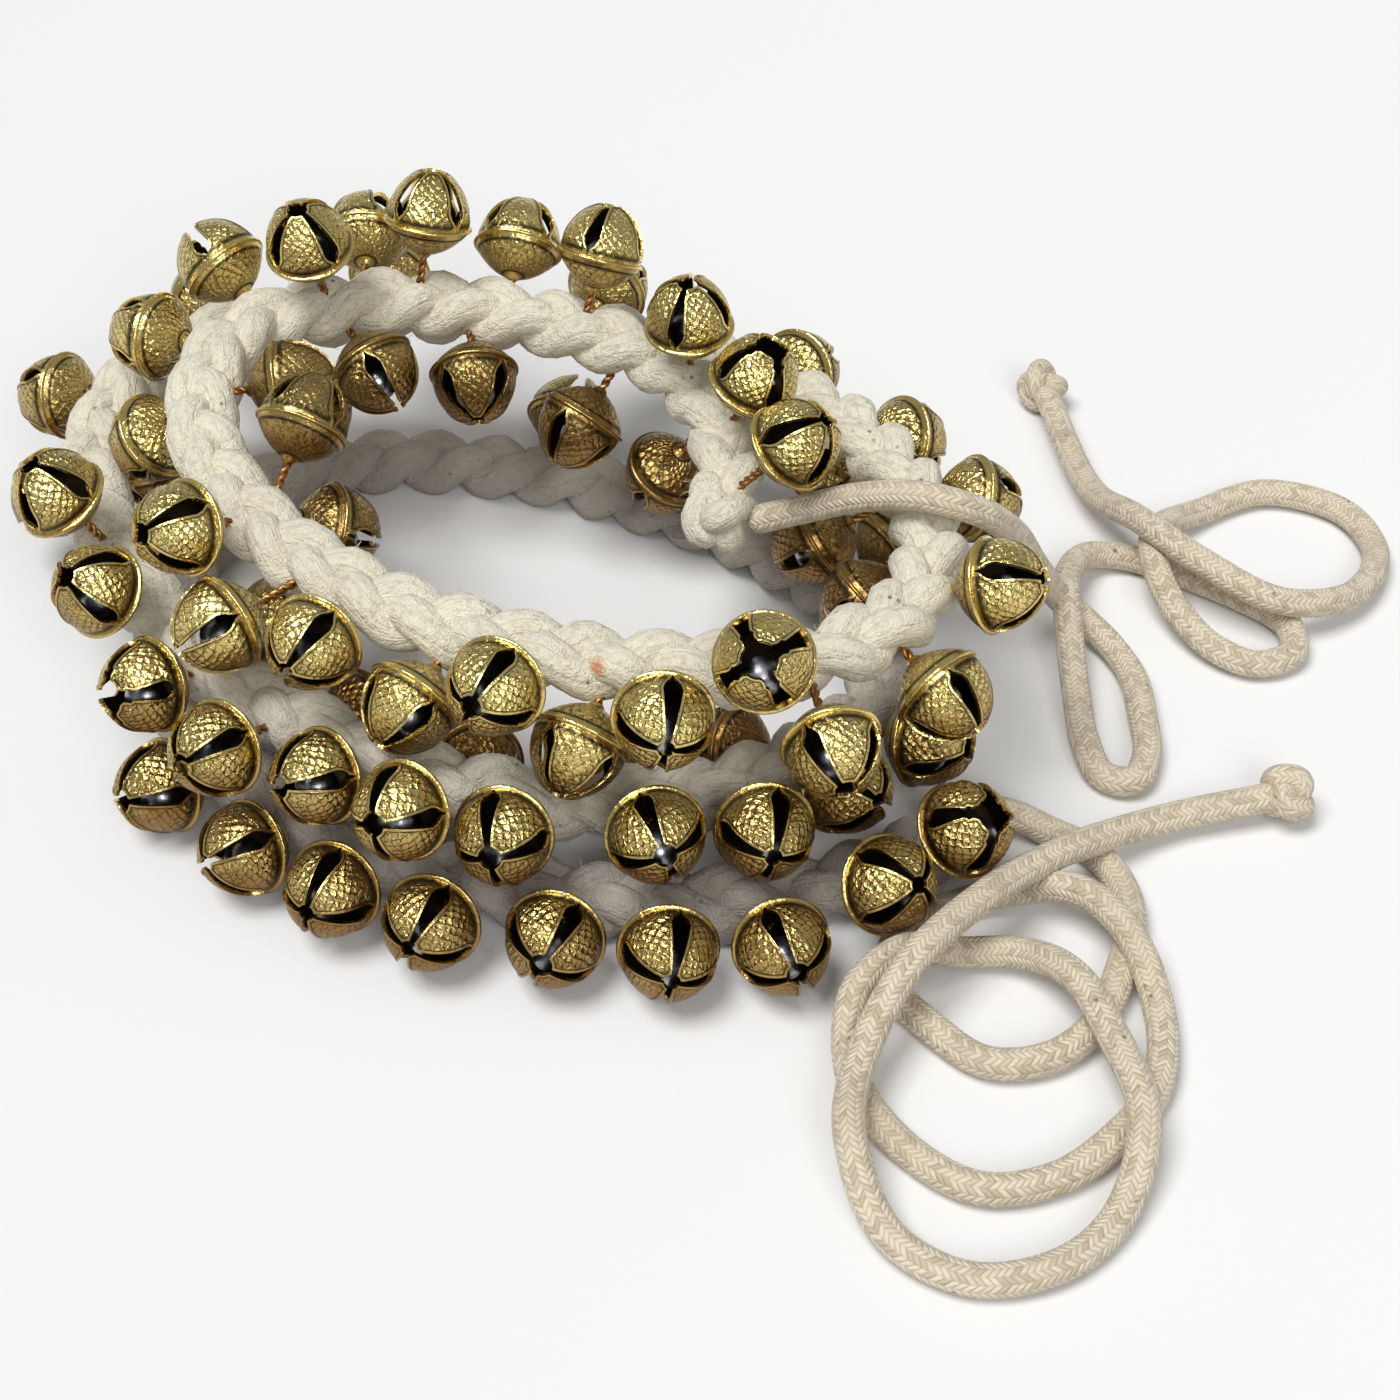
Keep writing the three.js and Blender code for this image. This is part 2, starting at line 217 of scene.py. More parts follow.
def new_group(name: str, inputs: dict[str, str], outputs: dict[str, str]) -> tuple:
    """Starts a shader node group.

    Args:
        name: The group's name.
        inputs: Socket types by input name.
        outputs: Socket types by output name.

    Returns:
        The group, its sheet, and its input and output nodes.
    """
    group = bpy.data.node_groups.new(name, "ShaderNodeTree")
    for label, kind in inputs.items():
        group.interface.new_socket(label, in_out="INPUT", socket_type=kind)
    for label, kind in outputs.items():
        group.interface.new_socket(label, in_out="OUTPUT", socket_type=kind)
    sheet = NodeSheet(group)
    return group, sheet, sheet.add("NodeGroupInput"), sheet.add("NodeGroupOutput")


FLOAT, VECTOR = "NodeSocketFloat", "NodeSocketVector"


def braid_group() -> bpy.types.NodeTree:
    """Herringbone stitches of a round braid, from a UV map with u once round the cord.

    Returns:
        The group, which puts out the stitches' height, the creases between them and a random
        value for each stitch.
    """
    group, sheet, given, result = new_group(
        "herringbone_braid", {"UV": VECTOR, "Columns": FLOAT, "Stitches": FLOAT},
        {"Height": FLOAT, "Crease": FLOAT, "Thread": FLOAT})
    column = sheet.times(sheet.part(given.outputs["UV"], "X"), given.outputs["Columns"])
    slant = sheet.math("PINGPONG", column, 1.0)
    along = sheet.times(sheet.part(given.outputs["UV"], "Y"), given.outputs["Stitches"])
    run = sheet.math("ADD", along, slant)

    def crown(value: bpy.types.NodeSocket) -> bpy.types.NodeSocket:
        """Rounds a 0..1 ramp into a crown."""
        centred = sheet.math("MULTIPLY_ADD", value, 2.0, -1.0)
        return sheet.flip(sheet.math("POWER", sheet.math("ABSOLUTE", centred), 2.4))

    across = sheet.math("MULTIPLY_ADD", crown(sheet.math("FRACT", column)), 0.65, 0.35)
    height = sheet.times(crown(sheet.math("FRACT", run)), across)
    cell = sheet.add("ShaderNodeCombineXYZ", {0: sheet.math("FLOOR", column), 1: sheet.math("FLOOR", run)})
    thread = sheet.add("ShaderNodeTexWhiteNoise", {"Vector": cell.outputs[0]}, noise_dimensions="2D")
    sheet.fill(result, {"Height": height, "Crease": sheet.flip(sheet.smooth(height, 0.05, 0.6)),
                        "Thread": thread.outputs["Value"]})
    return group


def scale_group() -> bpy.types.NodeTree:
    """Rows of overlapping scales with raised lips, from a UV map in millimetres.

    Returns:
        The group, which puts out the scales' height and the grooves under their lips.
    """
    group, sheet, given, result = new_group(
        "pressed_scales", {"UV": VECTOR, "Size": FLOAT}, {"Height": FLOAT, "Groove": FLOAT})
    shaken = sheet.add("ShaderNodeTexNoise", {"Vector": given.outputs["UV"], "Scale": 0.8, "Detail": 3.0})
    centred = sheet.add("ShaderNodeVectorMath", {0: shaken.outputs["Color"], 1: (0.5, 0.5, 0.5)},
                        operation="SUBTRACT")
    shift = sheet.add("ShaderNodeVectorMath", {0: centred.outputs[0], "Scale": 1.5}, operation="SCALE")
    moved = sheet.add("ShaderNodeVectorMath", {0: given.outputs["UV"], 1: shift.outputs[0]},
                      operation="ADD")
    x = sheet.math("DIVIDE", sheet.part(moved.outputs[0], "X"), given.outputs["Size"])
    y = sheet.math("DIVIDE", sheet.part(moved.outputs[0], "Y"), sheet.times(given.outputs["Size"], 0.5))
    row = sheet.math("FLOOR", y)
    below = sheet.math("SUBTRACT", y, row)

    def reach(count: bpy.types.NodeSocket, drop: bpy.types.NodeSocket) -> bpy.types.NodeSocket:
        """Distance to the nearest scale's centre in a row.

        Args:
            count: The row's number; odd rows are shifted by half a scale.
            drop: Distance to the row's centres across the rows.

        Returns:
            The distance, in scales.
        """
        offset = sheet.times(sheet.math("FLOORED_MODULO", count, 2.0), 0.5)
        aside = sheet.math("SUBTRACT", sheet.math("FRACT", sheet.math("ADD", x, offset)), 0.5)
        half = sheet.times(drop, 0.5)
        return sheet.math("SQRT", sheet.math("MULTIPLY_ADD", aside, aside, sheet.times(half, half)))

    upper = reach(row, below)
    lower = reach(sheet.math("ADD", row, 1.0), sheet.flip(below))
    bare = sheet.smooth(upper, 0.45, 0.5)
    over = sheet.times(sheet.flip(bare), sheet.math("POWER", upper, 1.3))
    under = sheet.times(bare, sheet.math("POWER", lower, 1.3))
    sheet.fill(result, {"Height": sheet.weighted((over, 2.4), (under, 2.4)),
                        "Groove": sheet.times(bare, sheet.flip(sheet.smooth(upper, 0.5, 0.66)))})
    return group


def ply_group() -> bpy.types.NodeTree:
    """Loosely twisted cotton yarns, from a UV map with u once round the cord.

    Returns:
        The group, which puts out the yarns' height, the creases between them and loose streaks.
    """
    group, sheet, given, result = new_group(
        "twisted_yarns", {"UV": VECTOR, "Yarns": FLOAT, "Twist": FLOAT},
        {"Height": FLOAT, "Crease": FLOAT, "Streak": FLOAT})
    u, v = (sheet.part(given.outputs["UV"], axis) for axis in "XY")
    angle = sheet.times(u, 2 * math.pi)
    ring = sheet.add("ShaderNodeCombineXYZ", {
        0: sheet.math("COSINE", angle), 1: sheet.math("SINE", angle), 2: sheet.times(v, 0.55)}).outputs[0]
    wander = sheet.span(sheet.noise(ring, 2.2, 3.0), -0.7, 0.7)
    yarn = sheet.math("MULTIPLY_ADD", u, given.outputs["Yarns"], sheet.times(v, given.outputs["Twist"]))
    wave = sheet.math("ABSOLUTE", sheet.math("SINE", sheet.times(
        sheet.math("ADD", yarn, wander), math.pi)))
    sheet.fill(result, {"Height": sheet.math("POWER", wave, 0.6),
                        "Crease": sheet.flip(sheet.smooth(wave, 0.0, 0.55)),
                        "Streak": sheet.noise(ring, 13.0, 5.0)})
    return group


def specks_group() -> bpy.types.NodeTree:
    """Soil on cotton: broad soft patches and small sparse specks.

    Returns:
        The group, which puts out a mask of each.
    """
    group, sheet, given, result = new_group("soil", {"Vector": VECTOR}, {"Patch": FLOAT, "Speck": FLOAT})
    patch = sheet.smooth(sheet.noise(given.outputs["Vector"], 55.0, 4.0), 0.42, 0.72)
    where = sheet.smooth(sheet.noise(given.outputs["Vector"], 130.0), 0.5, 0.68)
    dots = sheet.add("ShaderNodeTexVoronoi", {"Vector": given.outputs["Vector"], "Scale": 420.0})
    dot = sheet.flip(sheet.smooth(dots.outputs["Distance"], 0.08, 0.24))
    sheet.fill(result, {"Patch": patch, "Speck": sheet.times(dot, where)})
    return group


# Finishes


@dataclass(frozen=True)
class Finish:
    """A finish that is made into one material the first time that it is used."""

    name: str

    def material(self) -> bpy.types.Material:
        """Makes the material, if it isn't there yet.

        Returns:
            The material.
        """
        found = bpy.data.materials.get(self.name)
        if found:
            return found
        made = bpy.data.materials.new(self.name)
        made.use_nodes = True
        made.node_tree.nodes.clear()
        sheet = NodeSheet(made.node_tree)
        shader = self.shade(sheet)
        sheet.add("ShaderNodeOutputMaterial", {"Surface": shader.outputs[0]})
        return made

    def shade(self, sheet: NodeSheet) -> bpy.types.Node:
        """Fills a material's sheet.

        Args:
            sheet: The sheet, empty.

        Returns:
            The node whose first output is the surface.
        """
        raise NotImplementedError


@dataclass(frozen=True)
class BraidedCotton(Finish):
    """Soft undyed cotton braid."""

    lit: Colour
    shade_and_mottle: Colour
    soiled: Colour
    speck: Colour = (0.07, 0.05, 0.035, 1)
    columns: float = 12.0
    stitches: float = 15.0
    relief: float = 0.5

    def shade(self, sheet: NodeSheet) -> bpy.types.Node:
        """Cream stitches with painted shade in the creases, soil, specks and loose fibre.

        Args:
            sheet: The sheet, empty.

        Returns:
            The shader.
        """
        uv = sheet.add("ShaderNodeUVMap", uv_map="UVMap").outputs[0]
        place = sheet.add("ShaderNodeTexCoord").outputs["Object"]
        braid = sheet.group(braid_group, "herringbone_braid", {
            "UV": uv, "Columns": self.columns, "Stitches": self.stitches})
        soil = sheet.group(specks_group, "soil", {"Vector": place})
        fibre = sheet.noise(place, 1900.0, 4.0)
        tone = sheet.layered(
            self.lit,
            # Painted shade darkens the creases between stitches; the thread and fibre layers that follow are
            # the cotton's own mottle
            (braid["Crease"], 0.5, self.shade_and_mottle),
            (sheet.smooth(braid["Thread"], 0.4, 1.0), 0.6, self.shade_and_mottle),
            (soil["Patch"], 0.4, self.soiled),
            (sheet.span(fibre, -0.1, 0.35), 1.0, self.shade_and_mottle),
            (soil["Speck"], 0.75, self.speck))
        height = sheet.weighted((braid["Height"], 1.0), (fibre, 0.5))
        bump = sheet.add("ShaderNodeBump", {"Height": height, "Strength": self.relief, "Distance": 0.0006})
        return sheet.add("ShaderNodeBsdfPrincipled", {
            "Base Color": tone, "Normal": bump.outputs[0], "Roughness": 0.92,
            "Specular IOR Level": 0.15, "Sheen Weight": 0.25, "Sheen Roughness": 0.6})


@dataclass(frozen=True)
class TwistedCotton(Finish):
    """Fluffy cotton yarn of the plait, soiled by handling, with shade painted into its creases and low
    turns.
    """

    lit: Colour
    shade_and_mottle: Colour
    soiled: Colour
    low_shade: Colour
    stain: Colour
    stain_at: tuple[float, float, float]
    speck: Colour = (0.06, 0.045, 0.03, 1)
    yarns: float = 6.0
    twist: float = 2.5

    def shade(self, sheet: NodeSheet) -> bpy.types.Node:
        """Cream yarn with painted shade, grey in the low turns and darker in the creases, and lumps, soil,
        specks and a dye stain.

        Args:
            sheet: The sheet, empty.

        Returns:
            The shader.
        """
        uv = sheet.add("ShaderNodeUVMap", uv_map="UVMap").outputs[0]
        place = sheet.add("ShaderNodeTexCoord").outputs["Object"]
        yarn = sheet.group(ply_group, "twisted_yarns", {"UV": uv, "Yarns": self.yarns, "Twist": self.twist})
        soil = sheet.group(specks_group, "soil", {"Vector": place})
        fluff = sheet.noise(place, 2300.0, 4.0)
        lump = sheet.noise(place, 620.0, 5.0)
        near = sheet.add("ShaderNodeVectorMath", {0: place, 1: self.stain_at}, operation="DISTANCE")
        ragged = sheet.math("ADD", near.outputs["Value"], sheet.span(fluff, -0.0012, 0.0012))
        tone = sheet.layered(
            self.lit,
            # Painted shade darkens the creases between yarns; the streak and lump layers that follow are the
            # yarn's own mottle
            (yarn["Crease"], 0.2, self.shade_and_mottle),
            (sheet.smooth(yarn["Streak"], 0.46, 0.76), 0.3, self.shade_and_mottle),
            (sheet.smooth(lump, 0.5, 0.7), 0.5, self.shade_and_mottle),
            (soil["Patch"], 0.2, self.soiled),
            # Painted shade: the low turns near the floor are greyed
            (sheet.flip(sheet.smooth(sheet.part(place, "Z"), 0.006, 0.036)), 0.75, self.low_shade),
            (sheet.flip(sheet.smooth(ragged, 0.0006, 0.0022)), 0.85, self.stain),
            (soil["Speck"], 0.8, self.speck))
        height = sheet.weighted((yarn["Height"], 0.6), (yarn["Streak"], 0.8), (fluff, 1.2), (lump, -1.6))
        bump = sheet.add("ShaderNodeBump", {"Height": height, "Strength": 0.75, "Distance": 0.0009})
        return sheet.add("ShaderNodeBsdfPrincipled", {
            "Base Color": tone, "Normal": bump.outputs[0], "Roughness": 0.95,
            "Specular IOR Level": 0.1, "Sheen Weight": 0.35, "Sheen Roughness": 0.5})


@dataclass(frozen=True)
class CottonFibre(Finish):
    """Single loose cotton hairs."""

    pale: Colour
    darker: Colour

    def shade(self, sheet: NodeSheet) -> bpy.types.Node:
        """Two tones of cream, hair by hair.

        Args:
            sheet: The sheet, empty.

        Returns:
            The shader.
        """
        place = sheet.add("ShaderNodeTexCoord").outputs["Object"]
        tone = sheet.mix(sheet.noise(place, 600.0), self.pale, self.darker)
        return sheet.add("ShaderNodeBsdfPrincipled", {
            "Base Color": tone, "Roughness": 0.9, "Specular IOR Level": 0.1})


@dataclass(frozen=True)
class AntiqueBrass(Finish):
    """Pressed brass, bright on the high spots, brown in the grooves and browner where shade is painted."""

    bright: Colour
    brown: Colour
    dark: Colour
    scale: float = 1.75

    def shade(self, sheet: NodeSheet) -> bpy.types.Node:
        """Brass with pressed scales where the relief attribute is set, dirt, tarnish and painted shade.

        Args:
            sheet: The sheet, empty.

        Returns:
            The shader.
        """
        uv = sheet.add("ShaderNodeUVMap", uv_map="UVMap").outputs[0]
        coordinates = sheet.add("ShaderNodeTexCoord").outputs
        place = coordinates["Object"]
        # The second attribute marks bells that hang inside the coil, for painted shade
        relief, darker = (sheet.add("ShaderNodeAttribute", attribute_name=name).outputs["Fac"]
                        for name in ("relief", "darker"))
        scales = sheet.group(scale_group, "pressed_scales", {"UV": uv, "Size": self.scale})
        worn = sheet.smooth(sheet.noise(place, 260.0, 2.0), 0.3, 0.62)
        pressed = sheet.times(relief, sheet.span(worn, 0.45, 1.0))
        step = sheet.times(sheet.smooth(relief, 0.1, 0.45), sheet.flip(sheet.smooth(relief, 0.55, 0.98)))
        dirt = sheet.math("MAXIMUM", sheet.times(scales["Groove"], pressed), step)
        # Painted shade: bells lower in the coil turn browner
        low = sheet.flip(sheet.smooth(sheet.part(place, "Z"), 0.008, 0.055))
        patchy = sheet.smooth(sheet.noise(place, 150.0, 6.0), 0.34, 0.66)
        # Painted shade: brass that faces down turns browner
        under = sheet.flip(sheet.smooth(sheet.part(coordinates["Normal"], "Z"), -0.45, 0.75))
        # Random tarnish, plus painted shade: browner on low bells, on undersides and on bells inside the
        # coil
        tarnish_and_shade = sheet.math("MINIMUM", sheet.weighted(
            (patchy, 0.25), (low, 0.5), (under, 0.5), (darker, 0.5)), 1.0)
        tone = sheet.layered(self.bright, (tarnish_and_shade, 0.9, self.brown), (dirt, 0.92, self.dark))
        rough = sheet.span(sheet.weighted((tarnish_and_shade, 0.5), (dirt, 0.5)), 0.17, 0.42)
        raised = sheet.math("MULTIPLY_ADD", scales["Height"], pressed,
                            sheet.times(sheet.noise(place, 900.0, 3.0), 0.6))
        bump = sheet.add("ShaderNodeBump", {"Height": raised, "Strength": 0.85, "Distance": 0.0004})
        return sheet.add("ShaderNodeBsdfPrincipled", {
            "Base Color": tone, "Metallic": 1.0, "Roughness": rough, "Normal": bump.outputs[0]})


@dataclass(frozen=True)
class PlainMetal(Finish):
    """Drawn wire, ball steel or a bell's inside, darkened by tarnish and painted shade: metal with a mottled
    surface.
    """

    base: Colour
    mottle: Colour
    roughness: tuple[float, float]
    grain: float = 500.0

    def shade(self, sheet: NodeSheet) -> bpy.types.Node:
        """Two tones of metal in small patches, with fine scratches.

        Args:
            sheet: The sheet, empty.

        Returns:
            The shader.
        """
        place = sheet.add("ShaderNodeTexCoord").outputs["Object"]
        patch = sheet.smooth(sheet.noise(place, self.grain, 4.0), 0.38, 0.68)
        fine = sheet.noise(place, self.grain * 6.0, 2.0)
        bump = sheet.add("ShaderNodeBump", {"Height": fine, "Strength": 0.2, "Distance": 0.0002})
        return sheet.add("ShaderNodeBsdfPrincipled", {
            "Base Color": sheet.mix(patch, self.base, self.mottle), "Metallic": 1.0,
            "Roughness": sheet.span(patch, *self.roughness), "Normal": bump.outputs[0]})


@dataclass(frozen=True)
class PaleFloor(Finish):
    """Plain white studio surface."""

    colour: Colour = (0.83, 0.83, 0.83, 1)

    def shade(self, sheet: NodeSheet) -> bpy.types.Node:
        """Matt white paper."""
        return sheet.add("ShaderNodeBsdfDiffuse", {"Color": self.colour, "Roughness": 0.3})


PLAIT_COTTON = TwistedCotton(
    "plait_cotton", lit=(0.98, 0.93, 0.74, 1), shade_and_mottle=(0.64, 0.54, 0.42, 1),
    soiled=(0.62, 0.53, 0.45, 1), low_shade=(0.34, 0.29, 0.27, 1), stain=(0.78, 0.25, 0.07, 1),
    stain_at=(0.0198, -0.0505, 0.0422))
FIBRE = CottonFibre("loose_cotton", pale=(0.95, 0.90, 0.76, 1), darker=(0.66, 0.58, 0.47, 1))
CORD_COTTON = BraidedCotton(
    "cord_cotton", lit=(0.80, 0.71, 0.55, 1), shade_and_mottle=(0.40, 0.32, 0.21, 1), soiled=(0.54, 0.45, 0.33, 1))
BRASS = AntiqueBrass("antique_brass", bright=(1.0, 0.81, 0.31, 1), brown=(0.25, 0.115, 0.03, 1),
                     dark=(0.035, 0.023, 0.01, 1))
# Near-black inner faces of the bells: tarnish with painted shade
INSIDE = PlainMetal("tarnish_and_shade_inside", base=(0.07, 0.05, 0.025, 1), mottle=(0.02, 0.015, 0.01, 1),
                    roughness=(0.55, 0.8), grain=300.0)
WIRE = PlainMetal("copper_wire", base=(0.50, 0.26, 0.09, 1), mottle=(0.22, 0.11, 0.04, 1),
                  roughness=(0.3, 0.5), grain=700.0)
STEEL = PlainMetal("ball_steel", base=(0.42, 0.43, 0.46, 1), mottle=(0.20, 0.20, 0.22, 1),
                   roughness=(0.25, 0.42), grain=350.0)


# Modelling steps shared by the pieces


def clamped(value: float) -> float:
    """Holds a value between 0 and 1."""
    return min(max(value, 0.0), 1.0)


def select_only(*objects: bpy.types.Object) -> None:
    """Selects objects and no others.

    Args:
        objects: The objects, of which the first becomes the active one.
    """
    bpy.ops.object.select_all(action="DESELECT")
    for obj in objects:
        obj.select_set(True)
    bpy.context.view_layer.objects.active = objects[0]


def apply_modifier(obj: bpy.types.Object, kind: str, **settings: object) -> None:
    """Puts one modifier on an object and applies it.

    Args:
        obj: The object.
        kind: The modifier's type.
        settings: Properties of the modifier.
    """
    select_only(obj)
    modifier = obj.modifiers.new(kind.lower(), kind)
    for key, value in settings.items():
        setattr(modifier, key, value)
    bpy.ops.object.modifier_apply(modifier=modifier.name)


def joined(name: str, parts: list[bpy.types.Object]) -> bpy.types.Object:
    """Joins parts into one object.

    Args:
        name: The object's name.
        parts: The parts, of which the first takes in the others.

    Returns:
        The joined object.
    """
    select_only(*parts)
    bpy.ops.object.join()
    parts[0].name = parts[0].data.name = name
    return parts[0]


def smoothed(obj: bpy.types.Object, degrees: float) -> bpy.types.Object:
    """Shades an object smooth, with edges sharper than the angle kept, and returns it."""
    select_only(obj)
    bpy.ops.object.shade_smooth_by_angle(angle=math.radians(degrees))
    return obj


def copied(template: bpy.types.Object, name: str, place: Matrix) -> bpy.types.Object:
    """Copies an object with a mesh of its own.

    Args:
        template: The object to copy.
        name: The copy's name.
        place: Where the copy's mesh is set.

    Returns:
        The copy.
    """
    mesh = template.data.copy()
    mesh.transform(place)
    return linked(name, mesh)


def linked(name: str, mesh: bpy.types.Mesh) -> bpy.types.Object:
    """Puts a mesh into the scene.

    Args:
        name: The name of the mesh and of its object.
        mesh: The mesh.

    Returns:
        The object.
    """
    mesh.name = name
    obj = bpy.data.objects.new(name, mesh)
    bpy.context.scene.collection.objects.link(obj)
    return obj


def mounted(piece: bpy.types.Object, body: str, node: str | None = None) -> None:
    """Ties a piece to the CAD model.

    Args:
        piece: The piece.
        body: The CAD body that it rides on.
        node: The CAD node that it stands for, if any.
    """
    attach(piece, body)
    if node:
        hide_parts(node)


def curve_through(points: list[Vector], step: float) -> list[Vector]:
    """Centripetal curve through points, as the CAD source draws it, at an even step.

    Args:
        points: The points of the route.
        step: The distance between points of the result.

    Returns:
        Evenly spaced points from the first to the last.
    """
    span_steps = 24
    ends = [2 * points[0] - points[1], *points, 2 * points[-1] - points[-2]]
    fine: list[Vector] = []
    for p0, p1, p2, p3 in zip(ends, ends[1:], ends[2:], ends[3:]):
        d0, d1, d2 = (max((b - a).length, 1e-9) ** 0.5 for a, b in ((p0, p1), (p1, p2), (p2, p3)))
        leave = ((p1 - p0) / d0 - (p2 - p0) / (d0 + d1) + (p2 - p1) / d1) * d1
        arrive = ((p2 - p1) / d1 - (p3 - p1) / (d1 + d2) + (p3 - p2) / d2) * d1
        for k in range(span_steps):
            u = k / span_steps
            fine.append(p1 + leave * u + (3 * (p2 - p1) - 2 * leave - arrive) * u ** 2
                        + (2 * (p1 - p2) + leave + arrive) * u ** 3)
    return evenly_spaced([*fine, points[-1]], step)


def evenly_spaced(points: list[Vector], step: float) -> list[Vector]:
    """Spaces points at an even distance along a polyline, with both ends kept.

    Args:
        points: The corners of the polyline.
        step: The distance between points of the result, as near as the length allows.

    Returns:
        The points.
    """
    lengths = [0.0]
    for a, b in pairwise(points):
        lengths.append(lengths[-1] + (b - a).length)
    count = max(round(lengths[-1] / step), 2)
    result, i = [], 0
    for k in range(count + 1):
        want = lengths[-1] * k / count
        while i < len(points) - 2 and lengths[i + 1] < want:
            i += 1
        share = (want - lengths[i]) / max(lengths[i + 1] - lengths[i], 1e-12)
        result.append(points[i].lerp(points[i + 1], clamped(share)))
    return result


def path_length(path: list[Vector]) -> float:
    """Length of a polyline."""
    return sum((b - a).length for a, b in pairwise(path))


def swept_tube(name: str, path: list[Vector], radius: Callable[[float], float], sides: int,
               floor: float | None = None) -> bpy.types.Object:
    """Round tube with domed ends and a UV map, u round it and v along it in circumferences.

    Args:
        name: The object's name.
        path: Points that the tube follows.
        radius: Radius at a distance along the path.
        sides: Number of sides.
        floor: Height that no point goes below, if any.

    Returns:
        The tube, with its mesh in place.
    """
    tangents = [(b - a).normalized() for a, b in zip([path[0], *path], [*path[1:], path[-1]])]
    side = tangents[0].orthogonal().normalized()
    rings: list[tuple[Vector, Vector, Vector, float, float]] = []
    run = 0.0
    for i, (point, tangent) in enumerate(zip(path, tangents)):
        run += (point - path[i - 1]).length if i else 0.0
        side = (side - tangent * side.dot(tangent)).normalized()
        rings.append((point, side.copy(), tangent.cross(side), radius(run), run))
    first, last = rings[0], rings[-1]
    domes = ((0.9, 0.45), (0.62, 0.8))
    start = [(first[0] - tangents[0] * first[3] * rise, *first[1:3], first[3] * width, -first[3] * rise)
             for width, rise in reversed(domes)]
    end = [(last[0] + tangents[-1] * last[3] * rise, *last[1:3], last[3] * width, run + last[3] * rise)
           for width, rise in domes]
    rings = [*start, *rings, *end]
    vertices = [point + (across * math.cos(a) + above * math.sin(a)) * wide
                for point, across, above, wide, _ in rings
                for a in (2 * math.pi * k / sides for k in range(sides))]
    vertices += [first[0] - tangents[0] * first[3], last[0] + tangents[-1] * last[3]]
    if floor is not None:
        vertices = [Vector((v.x, v.y, max(v.z, floor))) for v in vertices]
    round_length = 2 * math.pi * first[3]
    faces, uvs = [], []
    for i in range(len(rings) - 1):
        v0, v1 = rings[i][4] / round_length, rings[i + 1][4] / round_length
        for k in range(sides):
            a, b = i * sides + k, i * sides + (k + 1) % sides
            faces.append((a, b, b + sides, a + sides))
            u0, u1 = k / sides, (k + 1) / sides
            uvs += [(u0, v0), (u1, v0), (u1, v1), (u0, v1)]
    top = (len(rings) - 1) * sides
    for k in range(sides):
        n = (k + 1) % sides
        faces += [(n, k, len(vertices) - 2), (top + k, top + n, len(vertices) - 1)]
        uvs += [(k / sides, 0.0)] * 3 + [(k / sides, run / round_length)] * 3
    mesh = bpy.data.meshes.new(name)
    mesh.from_pydata(vertices, [], faces)
    layer = mesh.uv_layers.new(name="UVMap")
    for loop, uv in zip(layer.data, uvs):
        loop.uv = uv
    mesh.shade_smooth()
    return linked(name, mesh)


def ruffled(obj: bpy.types.Object) -> bpy.types.Object:
    """Puffs soft cotton out and in a little, and keeps it above the floor.

    Args:
        obj: The piece.

    Returns:
        The same piece.
    """
    normals = [vertex.normal.copy() for vertex in obj.data.vertices]
    for vertex, normal in zip(obj.data.vertices, normals):
        spot = vertex.co / MM
        vertex.co += normal * sum(depth * noise.noise(spot * rate) for depth, rate in PUFFS) * MM
        vertex.co.z = max(vertex.co.z, 0.0)
    obj.data.update()
    return obj


# The coil


@dataclass(frozen=True)
class Section:
    """Centre and directions of the strand at one station of the coil."""

    centre: Vector
    along: Vector
    out: Vector
    up: Vector


